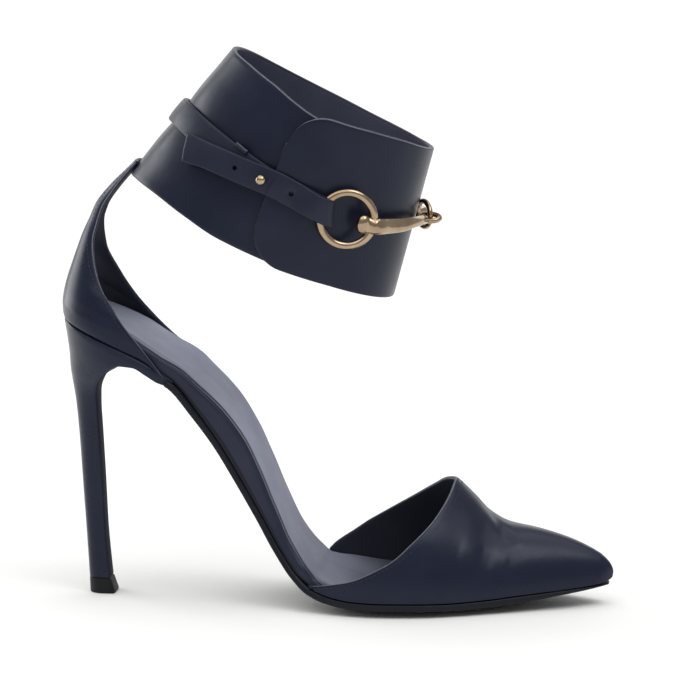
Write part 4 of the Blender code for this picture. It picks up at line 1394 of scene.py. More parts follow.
@dataclass
class Heel:
    """Covered stiletto and the wear pad under it.

    Attributes:
        levels: Tilted levels of the whole block from the seat down.
        ribs: Points of the breast and the points behind or above them.
        front: Station of the block's front.
        rows: Ribs after refining.
        seat_ribs: Place of the rib at which the seat's edge ends.
        seat_fade: Ribs over which it runs out.
        tuck: How far the upper edge is drawn in under the counter.
        tuck_width: Height over which it is.
        front_tuck: How far the front end is drawn in under the sole.
        breast_turn: Degrees by which the breast turns to the inner side.
        turn_reach: Half width up to which it does.
        edge_share: Share of the depth that the breast's soft corners take.
        lift: Outline of the wear pad by height.
    """

    levels: Chart = Chart("back_x back_z front_z half", (
        (-111.9, 113.4, 91.6, 25.2), (-110.9, 107, 88.2, 23.6), (-110.1, 100, 85, 20.5),
        (-109.8, 94, 82, 16.5), (-109.2, 89, 79, 12.8), (-108.4, 84, 76, 10.2),
        (-107.4, 76, 71, 8.2), (-106.3, 62, 60, 6.8), (-105.3, 45, 45, 5.8),
        (-104, 25, 25, 5.2), (-102.9, 6.6, 6.6, 5.2)))
    ribs: Chart = Chart("front_x front_z back_x back_z", (
        (-65.3, 89, -65.3, 91.6), (-70, 90.6, -72, 97.1), (-75, 93.8, -80, 101.5),
        (-80, 96.7, -89, 105.5), (-85.5, 97.1, -99, 109.6), (-89, 95.6, -106.5, 112.6),
        (-92, 93.6, -111.6, 115.2), (-94.4, 91.3, -111.4, 109.4), (-96, 89.4, -110.7, 105),
        (-97, 86.6, -110.1, 99.5), (-97.6, 82.9, -109.75, 93), (-97.65, 77, -108.6, 85),
        (-97.4, 69, -107.1, 72), (-96.4, 48, -105.5, 48.5), (-95.6, 27.6, -104.15, 27),
        (-94.6, 14, -103.35, 13.5), (-93.9, 6.6, -102.9, 6.6)))
    front: float = -65.3
    rows: int = 96
    seat_ribs: float = 6.25
    seat_fade: float = 0.25
    tuck: float = 1.3
    tuck_width: float = 1.0
    front_tuck: float = 1.5
    breast_turn: float = 9.0
    turn_reach: float = 7.0
    edge_share: float = 0.01
    lift: Chart = Chart("z back front half", (
        (0, -102.3, -92, 5.3), (0.35, -102.62, -91.66, 5.62), (0.9, -102.7, -91.62, 5.7),
        (5.7, -102.9, -93.25, 5.22), (6.1, -102.8, -93.45, 5.1), (6.4, -102.3, -93.9, 4.7)))
    # Levels after refining, and points of a rib's side.
    FINE, SIDE_COUNT = 240, 19
    # Round back by length, the breast's soft corner by depth, and how points crowd behind it.
    BEND_SHARE, CORNER, SIDE_START, SIDE_CROWD = 0.9, (0.0, 0.006, 0.02, 0.045, 0.09), 0.93, 1.8
    # Loss and reach of the corner, where the tuck draws the back in, and ribs of the front tuck.
    SOFT, SOFT_WIDTH, TUCK_BACK, FRONT_FADE = 0.12, 0.016, 0.72, 1.5
    # How the breast's turn fades backward, sets in and runs out; angle of hard edges.
    TURN_POWER, TURN_IN, TURN_OUT, EDGE_CRISP = 1.5, 4.0, 1.6, 60.0

    def half_width(self, x: Array, z: Array) -> Array:
        """Half width of the block at points of its side view.

        Args:
            x: Stations.
            z: Heights.

        Returns:
            Half widths.
        """
        level = self.levels.places(self.FINE)
        back_x, back_z, front_z, half = (self.levels.along(n, level) for n in self.levels.names.split())
        share = (x[..., None] - back_x) / (self.front - back_x)
        height = back_z + share * (front_z - back_z)
        pick = np.abs(height - z[..., None]).argmin(axis=-1)
        back, wide = back_x[pick], half[pick]
        bend = np.minimum(wide, self.BEND_SHARE * (self.front - back))
        return wide * rounded(np.clip((x - back) / bend, 0.0, 1.0))

    def shares(self) -> Array:
        """Shares of the depth from the breast to the back at which a rib has points."""
        side = 1.0 - np.linspace(self.SIDE_START, 0.0, self.SIDE_COUNT) ** self.SIDE_CROWD
        side = self.CORNER[-1] + (side - side[0]) / (1.0 - side[0]) * (1.0 - self.CORNER[-1])
        return np.unique(np.concatenate([self.CORNER, side]))[None]

    def build(self, shop: Shop) -> None:
        """Build and dress the heel and its wear pad.

        Args:
            shop: Where pieces are made.
        """
        place, share = self.ribs.places(self.rows), self.shares()
        names = self.ribs.names.split()
        front_x, front_z, back_x, back_z = (self.ribs.along(name, place)[:, None] for name in names)
        x, z = front_x + share * (back_x - front_x), front_z + share * (back_z - front_z)
        half = self.half_width(x, z) * (1.0 - self.SOFT * bell(share, self.SOFT_WIDTH))
        under = (1.0 - share) * np.hypot(back_x - front_x, back_z - front_z)
        seat = ease((self.seat_ribs - place) / self.seat_fade)[:, None]
        drawn = self.tuck * seat * bell(under, self.tuck_width)
        drawn = np.maximum(drawn, self.front_tuck * ease(1.0 - place / self.FRONT_FADE)[:, None])
        ahead = drawn * ease((share - self.TUCK_BACK) / (1.0 - self.TUCK_BACK))
        near = np.stack([x + ahead, -np.maximum(half - drawn, 0.0), z], axis=2)
        far = near * (1.0, -1.0, 1.0)
        back = 2.0 * math.tan(math.radians(self.breast_turn)) * np.minimum(far[..., 1], self.turn_reach)
        low = ease((place - self.seat_ribs) / self.TURN_IN) * ease(self.TURN_OUT * (1.0 - place / place[-1]))
        far[..., 0] -= back * (1.0 - share) ** self.TURN_POWER * low[:, None]
        rings = np.concatenate([near, far[:, ::-1]], axis=1)
        edge = [Skin.EDGE] * int(np.sum(share < self.edge_share))
        side = [Skin.FACE] * (rings.shape[1] - 2 * len(edge) - 1)
        block = Draft().loft(rings, edge + side + edge + [Skin.EDGE])
        settle(shop.make(block, "heel_cover", "upper breast", self.EDGE_CRISP), shop.upper, "heel")
        pad = Draft().loft(np.array([self.d_ring(*row) for row in self.lift.rows]))
        settle(shop.make(pad, "wear_pad", "lift"), "lift_rubber", "top_lift")

    @staticmethod
    def d_ring(z: float, back: float, front: float, half: float) -> Array:
        """Ring with a round back and a square front with soft corners.

        Args:
            z: Height.
            back: Rearmost station.
            front: Foremost station.
            half: Half width.

        Returns:
            The ring.
        """
        steps, square = 48, 0.28
        turn = circle(steps)
        behind = np.cos(turn) < 0.0
        power = np.where(behind, 1.0, square)
        middle = back + half
        x = middle + np.where(behind, half, front - middle) * squared(np.cos(turn), power)
        return np.stack([x, half * squared(np.sin(turn), power), np.full(steps, z)], axis=1)


@dataclass
class Cuff:
    """Wide ankle band whose round-cornered end laps over its beginning.

    Angles run round the ankle: 0 at the back, -90 on the outer side, 180 in front.
    Rise is 0 at the lower and 1 at the upper rim.

    Attributes:
        rims: Back and front of both rims, half width and sag of the sides.
        wall: Thickness of the band.
        inner_end: Angle of the covered end.
        outer_end: Angle of the round-cornered end.
        corner_degrees: Length of the round corners.
        corner_top: Height of the upper round corner.
        corner_low: Height of the lower round corner.
        end_lean: Degrees by which the end leans over the whole height.
        lean_length: Length over which the lean sets in.
        top_trim: Rise that the upper rim gives up by angle.
        low_trim: Rise that the lower rim gives up by angle.
        flap_drop: How far the flap hangs below the lower rim.
        flap_turn: Length over which it does.
        lap_start: Where the band begins to leave its bare path.
        lap_full: Where it lies fully over itself.
        lap_gap: Gap between the two layers.
        curl: How far the round-cornered end lifts.
        curl_turn: Length over which it does.
        cinch: Line along which straps draw the band in.
        draw_in: How far they do.
        puff: How far the band swells beside the straps.
    """

    rims: Chart = Chart("rise back_x back_z front_x front_z half outer_sag inner_sag", (
        (0, -84.2, 173.4, 21.5, 126.1, 42, 2.2, 2.5), (1, -42.2, 224.5, 37.8, 186.6, 40, 5, 7.5)))
    wall: float = 2.2
    inner_end: float = -128.0
    outer_end: float = 274.3
    corner_degrees: float = 15.0
    corner_top: float = 0.25
    corner_low: float = 0.2
    end_lean: float = 10.5
    lean_length: float = 45.0
    top_trim: Chart = Chart("angle trim", (
        (-128, 0.035), (-95, 0.03), (-84, 0.02), (-74, 0.004), (-58, -0.018), (-40, -0.016),
        (-20, 0), (0, 0.006), (40, -0.002), (85, -0.022), (115, -0.002), (130, 0.014),
        (150, 0.033), (166, 0.037), (182, 0.03), (200, 0.015), (225, -0.022), (240, -0.03),
        (255, -0.018), (270, 0), (276, 0)))
    low_trim: Chart = Chart("angle trim", (
        (-128, 0), (-78, 0), (-60, 0.022), (-40, 0.038), (-20, 0.028), (0, 0.006),
        (25, 0),
        (276, 0)))
    flap_drop: float = 0.022
    flap_turn: float = 40.0
    lap_start: float = 150.0
    lap_full: float = 212.0
    lap_gap: float = 0.4
    curl: float = 0.6
    curl_turn: float = 12.0
    cinch: Chart = Chart("angle rise hold", (
        (-180, 0.46, 0), (-128, 0.455, 0), (-110, 0.458, 1), (-90, 0.474, 1),
        (-66, 0.48, 1),
        (-40, 0.47, 1), (-20, 0.505, 1), (0, 0.487, 1), (40, 0.45, 1), (80, 0.47, 1),
        (110, 0.458, 1), (128, 0.455, 0), (180, 0.46, 0)))
    draw_in: float = 0.5
    puff: float = 0.25
    # Points over a face and a rim, sections of the band and of its round-cornered end.
    ROWS, LIP_POINTS, SECTIONS, CORNER_SECTIONS = 46, 8, 180, 14
    # Place and width of the swell, width of the draw-in, and roundness of a rim.
    PUFF_AT, PUFF_WIDTH, DRAW_WIDTH, LIP_ROUND = 0.22, 0.12, 0.085, 0.7
    # Degrees past the end, thickness at both ends, and rise about which the end leans.
    PAST_END, THIN_START, THIN_END, LEAN_MIDDLE = (0.35, 0.6), (0.45, 0.85), (0.8, 0.4), 0.48

    def base(self, angle: Array, rise: Array) -> Array:
        """Points of the bare band.

        Args:
            angle: Angles.
            rise: Rises.

        Returns:
            One vector for each.
        """
        angle, rise = np.broadcast_arrays(np.asarray(angle, dtype=float), np.asarray(rise, dtype=float))
        low, high = (dict(zip(self.rims.names.split(), row)) for row in self.rims.rows)
        row = {name: low[name] + (high[name] - low[name]) * rise for name in low}
        turn = np.radians(angle)
        x = 0.5 * (row["back_x"] + row["front_x"]) + 0.5 * (row["back_x"] - row["front_x"]) * np.cos(turn)
        z = 0.5 * (row["back_z"] + row["front_z"]) + 0.5 * (row["back_z"] - row["front_z"]) * np.cos(turn)
        y = row["half"] * np.sin(turn)
        sag = np.where(y < 0.0, row["outer_sag"], row["inner_sag"])
        return np.stack([x, y, z - sag * np.sin(turn) ** 2], axis=-1)

    def normal(self, angle: Array, rise: Array) -> Array:
        """Outward normals of the bare band.

        Args:
            angle: Angles.
            rise: Rises.

        Returns:
            One vector for each.
        """
        angle, rise = np.broadcast_arrays(np.asarray(angle, dtype=float), np.asarray(rise, dtype=float))
        around = self.base(angle + 1.0, rise) - self.base(angle - 1.0, rise)
        upward = self.base(angle, rise + 0.05) - self.base(angle, rise - 0.05)
        found = unit(np.cross(around, upward))
        across = self.base(angle, rise) - self.base(angle + 180.0, rise)
        out = np.sum(found * across, axis=-1, keepdims=True)
        return np.where(out > 0.0, found, -found)

    def upward(self, angle: Array) -> Array:
        """Vectors from the lower to the upper rim."""
        return self.base(angle, 1.0) - self.base(angle, 0.0)

    def lap(self, angle: Array) -> Array:
        """Outward shift where the end lies over the beginning."""
        return (self.wall + self.lap_gap) * ease((angle - self.lap_start) / (self.lap_full - self.lap_start))

    def outside(self, angle: Array) -> Array:
        """Height of the outermost face over the bare band."""
        angle = np.asarray(angle, dtype=float)
        return self.lap(np.where(angle + 360.0 <= self.outer_end, angle + 360.0, angle))

    def point(self, angle: Array, rise: Array, lift: Array) -> Array:
        """Points at heights over the bare band."""
        return self.base(angle, rise) + self.normal(angle, rise) * np.asarray(lift)[..., None]

    def swell(self, angle: Array, rise: Array) -> Array:
        """Outward swell of the leather that the straps draw in.

        Args:
            angle: Angles.
            rise: Rises.

        Returns:
            Shifts over the bare band.
        """
        turn = (np.asarray(angle) + 180.0) % 360.0 - 180.0
        gap = rise - self.cinch.read("rise", turn)
        beside = bell(np.abs(gap) - self.PUFF_AT, self.PUFF_WIDTH)
        drawn = self.draw_in * bell(gap, self.DRAW_WIDTH)
        return self.cinch.read("hold", turn) * (self.puff * beside - drawn)

    def ring(self, angle: float, thin: float, arc: Array) -> Array:
        """Ring round the band's wall.

        Args:
            angle: Its angle.
            thin: Share of the full thickness.
            arc: Turns of the points of a rounded rim.

        Returns:
            Points of the face, the upper rim, the lining and the lower rim.
        """
        past = angle - self.outer_end
        bend = 1.0 - float(rounded(held(-past / self.corner_degrees)))
        drop = self.flap_drop * held(past / self.flap_turn + 1.0)
        high = 1.0 - self.corner_top * bend - self.top_trim.number("trim", angle)
        low = self.corner_low * bend - drop + self.low_trim.number("trim", angle)
        rise = np.linspace(low, high, self.ROWS)
        lean = self.end_lean * float(ease(past / self.lean_length + 1.0))
        at = angle + lean * (rise - self.LEAN_MIDDLE)
        curl = self.curl * max(past / self.curl_turn + 1.0, 0.0) ** 2
        middle = float(self.lap(angle)) + curl - 0.5 * self.wall + self.swell(at, rise)
        half = 0.5 * self.wall * thin
        face, lining = self.point(at, rise, middle + half), self.point(at, rise, middle - half)
        lips = []
        for end, way in ((-1, 1.0), (0, -1.0)):
            centre, out = 0.5 * (face[end] + lining[end]), 0.5 * (face[end] - lining[end])
            up = unit(self.upward(angle)) * half * way * self.LIP_ROUND
            lips.append(np.array([centre + out * math.cos(a) + up * math.sin(a) for a in arc]))
        return np.concatenate([face, lips[0], lining[::-1], lips[1][::-1]])

    def build(self, shop: Shop) -> None:
        """Build and dress the band, from the covered to the round-cornered end.

        Args:
            shop: Where pieces are made.
        """
        arc = np.linspace(0.0, math.pi, self.LIP_POINTS)[1:-1]
        corner = self.corner_degrees * (1.0 - np.cos(quarter(self.CORNER_SECTIONS)))
        angles = np.concatenate([
            np.linspace(self.inner_end, self.outer_end - self.corner_degrees, self.SECTIONS),
            (self.outer_end - corner)[::-1][1:], self.outer_end + np.array(self.PAST_END)])
        full = np.ones(len(angles) - len(self.THIN_START) - len(self.THIN_END))
        thins = np.concatenate([self.THIN_START, full, self.THIN_END])
        # The upper rim's second strip from the face carries a painted highlight line.
        skins = ([Skin.FACE] * (self.ROWS - 1) + [Skin.EDGE, Skin.WORN] + [Skin.EDGE] * (len(arc) - 1)
                 + [Skin.LINING] * (self.ROWS - 1) + [Skin.EDGE] * (len(arc) + 1))
        rings = np.array([self.ring(angle, thin, arc) for angle, thin in zip(angles, thins)])
        piece = shop.make(Draft().loft(rings, skins, Skin.EDGE), "ankle_band", "cuff folded cuff_lining worn")
        settle(piece, "cuff_leather", "ankle_cuff")


def frame_at(point: Array, normal: Array, up: Array, origin: Array) -> Matrix:
    """Placement whose Z is the normal and whose Y is close to up.

    Args:
        point: Place in millimetres.
        normal: Direction of Z.
        up: Direction near Y.
        origin: Shift into the part's frame.

    Returns:
        The placement in metres.
    """
    z = Vector(normal).normalized()
    x = Vector(up).cross(z).normalized()
    turn = Matrix((x, z.cross(x), z)).transposed().to_4x4()
    return Matrix.Translation(Vector((point + origin) * MM)) @ turn


def turned(name: str, profile: list[tuple[float, float]], steps: int, finishes: Finishes) -> Object:
    """Shape turned round Z.

    Args:
        name: Name of the piece.
        profile: Radius and height of each ring.
        steps: Points of a ring.
        finishes: Its materials.

    Returns:
        The object.
    """
    turn = circle(steps)
    rings = [np.stack([r * np.cos(turn), r * np.sin(turn), np.full(steps, h)], axis=1) for r, h in profile]
    return Draft().loft(np.array(rings)).make(name, np.zeros(3), finishes)


def ring_grid(steps: tuple[int, int]) -> tuple[Array, Array]:
    """Angles along a ring and round its wire, closed both ways."""
    return np.meshgrid(*(np.linspace(0.0, FULL, count + 1) for count in steps), indexing="ij")


def wire_ring(name: str, radius: float, wire: float, steps: tuple[int, int],
              finishes: Finishes) -> Object:
    """Ring of round wire about Z.

    Args:
        name: Name of the piece.
        radius: Radius of the ring.
        wire: Radius of the wire.
        steps: Steps along the ring and round the wire.
        finishes: Its materials.

    Returns:
        The object.
    """
    around, across = ring_grid(steps)
    reach = radius + wire * np.cos(across)
    draft = Draft()
    draft.quads(draft.add(np.stack([reach * np.cos(around), reach * np.sin(around), wire * np.sin(across)],
                                   axis=2)))
    return draft.make(name, np.zeros(3), finishes)


@dataclass
class Straps:
    """Back strap, closing strap with its holes, and the tab between them.

    Attributes:
        cuff: Band that they draw in.
        closing: Line of the closing strap.
        back: Line of the back strap.
        tab: Line of the tab over the back strap's upper edge.
        width: Width of a strap.
        tab_width: Width of the tab.
        thick: Thickness of a strap.
        fit: Gap under a strap.
        loop_thick: Thickness at the fold that holds a ring.
        loop_at: Angle at which the fold is full.
        loop_ramp: Length over which it thickens.
        loop_round: Length of its round end.
        loop_end: Angle at which it ends.
        loop_slant: Degrees by which its lower edge goes further.
        slant: Degrees by which an edge of the closing strap's free end leads or trails.
        slant_run: Length over which the slant runs out.
        stud_angle: Angle of the stud.
        holes: Angles of the free holes.
        hole_radius: Radius of a hole.
        dent: Depth of the dent round a hole.
        dent_width: Half width of the dent.
    """

    cuff: Cuff
    closing: Chart = Chart("angle rise", (
        (-119, 0.452), (-111.3, 0.458), (-102, 0.468), (-95, 0.477), (-88, 0.484),
        (-82, 0.477), (-76, 0.467),
        (-69.3, 0.455), (-58.5, 0.431), (-50, 0.406), (-42.8, 0.383), (-36, 0.360)))
    back: Chart = Chart("angle rise", (
        (-83.4, 0.474), (-66, 0.496), (-50, 0.510), (-30, 0.515), (0, 0.487), (40, 0.450),
        (80, 0.470), (102, 0.468), (111.3, 0.458), (119, 0.452)))
    tab: Chart = Chart("angle rise", ((-70.0, 0.574), (-62.0, 0.588)))
    width: float = 10.8
    tab_width: float = 2.0
    thick: float = 2.0
    fit: float = 0.3
    loop_thick: float = 6.3
    loop_at: float = 108.0
    loop_ramp: float = 12.0
    loop_round: float = 3.9
    loop_end: float = 114.0
    loop_slant: float = 1.9
    slant: float = 3.7
    slant_run: float = 14.0
    stud_angle: float = -82.0
    holes: tuple[float, ...] = (-95.0, -69.3)
    hole_radius: float = 1.0
    dent: float = 0.35
    dent_width: float = 1.9
    # Points across a face, of an edge and round a hole; sections of a fold, each strap and the tab.
    ACROSS, ARC_POINTS, FOLD_POINTS, BACK_COUNT = 25, 8, 10, 150
    CLOSING_COUNT, DRILL_POINTS, TAB_COUNT = 96, 28, 16
    # Rounded edge by thickness and its limit, rise of the face, thickness at an end.
    EDGE, EDGE_MOST, CROWN, ENDS = 0.3, 2.4, 0.28, (0.6, 0.9, 1.0)
    # Share of a round end that is used, steps at a free end, the free end, room for a ring.
    PAST_MOST, END_STEPS, CLOSING_START, RING_SLACK = 0.98, (0.22, 0.45), -42.8, 0.1
    # Ends of a hole's drill, and the tab's ends and thickness.
    DRILL, TAB_ENDS, TAB_THICK = (2.4, 9.0), (-63.2, -69.6), 1.5

    def depth(self, angle: Array) -> Array:
        """Thickness along a strap, full at the fold."""
        share = (np.abs(angle) - self.loop_at + self.loop_ramp) / self.loop_ramp
        return self.thick + (self.loop_thick - self.thick) * ease(share)

    def fullness(self, angle: float) -> float:
        """Share of the thickness that the round end of a fold keeps."""
        past = min(max((abs(angle) - self.loop_end) / self.loop_round + 1.0, 0.0), self.PAST_MOST)
        return math.sqrt(1.0 - past * past)

    def closing_lift(self, angle: Array) -> Array:
        """Height of the closing strap's lower face."""
        return np.maximum(self.cuff.outside(angle) + self.fit, self.thick + 2.0 * self.fit)

    def band(self, path: Chart, angles: Array, lift: Callable[[float], float],
             depth: Callable[[float], float], width: float, slant: float = 0.0,
             dents: tuple[float, ...] = (), upper: Skin = Skin.WORN) -> Draft:
        """Flat strap with rounded edges.

        Args:
            path: Rise by angle.
            angles: Angles of its sections, from its free end.
            lift: Height of its lower face by angle.
            depth: Thickness by angle.
            width: Its width.
            slant: Degrees by which the upper edge leads at the free end.
            dents: Angles of holes that the face dips to.
            upper: Skin of the line along the upper edge.

        Returns:
            Its draft; the long edges have the edge skin.
        """
        count = self.ACROSS
        across, arc = np.linspace(-1.0, 1.0, count), np.linspace(0.0, math.pi, self.ARC_POINTS)[1:-1]
        rings = []
        for number, angle in enumerate(angles):
            tall = float(depth(angle))
            bend = self.EDGE * min(tall, self.EDGE_MOST)
            half = 0.5 * width - bend
            slim = self.fullness(angle) * self.ENDS[min(number, len(self.ENDS) - 1)]
            s = np.concatenate([across * half, half + bend * np.sin(arc), across[::-1] * half,
                                -half - bend * np.sin(arc)])
            h = np.concatenate([0.5 * tall + self.CROWN * (1.0 - across ** 2), 0.5 * tall * np.cos(arc),
                                np.full(count, -0.5 * tall), -0.5 * tall * np.cos(arc)])
            middle = path.number("rise", angle)
            degree = np.linalg.norm(self.cuff.base(angle + 0.5, middle) - self.cuff.base(angle - 0.5, middle))
            for hole in dents:
                h[:count] -= self.dent * bell(np.hypot((angle - hole) * degree, s[:count]), self.dent_width)
            lead = slant * float(ease(1.0 - abs(angle - angles[0]) / self.slant_run))
            if abs(angles[-1]) >= self.loop_end:
                fold = float(ease(1.0 - abs(angle - angles[-1]) / self.slant_run))
                lead -= math.copysign(self.loop_slant * fold, angles[-1])
            rise = middle + s / np.linalg.norm(self.cuff.upward(angle))
            rings.append(self.cuff.point(angle + lead * 2.0 * s / width, rise,
                                         float(lift(angle)) + 0.5 * tall + h * slim))
        # One strip beside the upper edge takes the upper skin: a painted highlight line unless the strap asks
        # for the plain edge.
        skins = ([Skin.FACE] * (count - 1) + [Skin.EDGE, upper] + [Skin.EDGE] * (len(arc) - 1)
                 + [Skin.FACE] * (count - 1) + [Skin.EDGE] * (len(arc) + 1))
        return Draft().loft(np.array(rings), skins, Skin.EDGE)

    def sections(self, start: float, end: float, count: int) -> Array:
        """Angles of sections, close together at both ends of a strap.

        Args:
            start: Angle of its free end.
            end: Angle of the round end of its fold.
            count: Even sections between them.

        Returns:
            The angles.
        """
        way = math.copysign(1.0, end - start)
        second, third = (start + step * way for step in self.END_STEPS)
        fold = end - way * self.loop_round * (1.0 - np.sin(quarter(self.FOLD_POINTS)))
        return np.concatenate([[start, second], np.linspace(third, fold[0], count)[:-1], fold])

    def build(self, shop: Shop, bit: "Bit") -> None:
        """Build and dress the straps and the tab.

        Args:
            shop: Where pieces are made.
            bit: Bit whose rings the straps hold.
        """
        looks = "strap folded strap worn"
        finish = shop.wardrobe.set_of(looks)
        back = self.band(self.back, self.sections(self.back.rows[0][0], self.loop_end, self.BACK_COUNT),
                         lambda a: float(self.cuff.outside(a)) + self.fit,
                         lambda a: float(self.depth(a)) if a > 0.0 else self.thick,
                         self.width, upper=Skin.EDGE)
        angles = self.sections(self.CLOSING_START, -self.loop_end, self.CLOSING_COUNT)
        closing = self.band(self.closing, angles, self.closing_lift, self.depth, self.width, self.slant,
                            self.holes, Skin.EDGE)
        back, closing = shop.make(back, "strap_back", looks), shop.make(closing, "strap_closing", looks)
        for side, strap in ((Side.OUTER, closing), (Side.INNER, back)):
            boolean(strap, bit.room(side, self.RING_SLACK, shop, finish), "DIFFERENCE")
        for angle in (*self.holes, self.stud_angle):
            profile = [(self.hole_radius, end) for end in self.DRILL]
            drill = turned("hole_drill", profile, self.DRILL_POINTS, finish)
            drill.data.transform(self.stud_place(angle, shop))
            boolean(closing, drill, "DIFFERENCE")
        settle(back, shop.upper, "back_strap")
        settle(closing, shop.upper, "closing_strap")
        tab = self.band(self.tab, np.linspace(*self.TAB_ENDS, self.TAB_COUNT),
                        lambda a: self.thick + self.fit, lambda a: self.TAB_THICK, self.tab_width)
        settle(shop.make(tab, "strap_tab", "folded folded strap worn"), shop.upper)

    def stud_place(self, angle: float, shop: Shop) -> Matrix:
        """Placement on the closing strap's line with Z outward."""
        rise, cuff = self.closing.number("rise", angle), self.cuff
        return frame_at(cuff.base(angle, rise), cuff.normal(angle, rise), cuff.upward(angle), shop.origin)


@dataclass(frozen=True)
class Eye:
    """Closed loop at the end of a bit half.

    Attributes:
        centre: Its centre.
        long: Half axis that points to its bar.
        cross: Half axis across.
        wire: Radius of its wire.
    """

    centre: Triple
    long: Triple
    cross: Triple
    wire: float = 1.1
    # Steps along the loop and round its wire.
    STEPS = (56, 18)

    @property
    def root(self) -> Array:
        """Point where the bar runs into the loop."""
        return np.array(self.centre) + np.array(self.long)

    def loop(self, shop: Shop) -> Object:
        """Make the loop.

        Args:
            shop: Where pieces are made.

        Returns:
            The object.
        """
        around, across = (turn[..., None] for turn in ring_grid(self.STEPS))
        long, cross = np.array(self.long), np.array(self.cross)
        path = np.array(self.centre) + np.cos(around) * long + np.sin(around) * cross
        along = unit(-np.sin(around) * long + np.cos(around) * cross)
        side = unit(np.cross(long, cross))
        out = np.cross(along, side)
        draft = Draft()
        draft.quads(draft.add(path + self.wire * (np.cos(across) * out + np.sin(across) * side)))
        return shop.make(draft, "eye_loop", "gold")


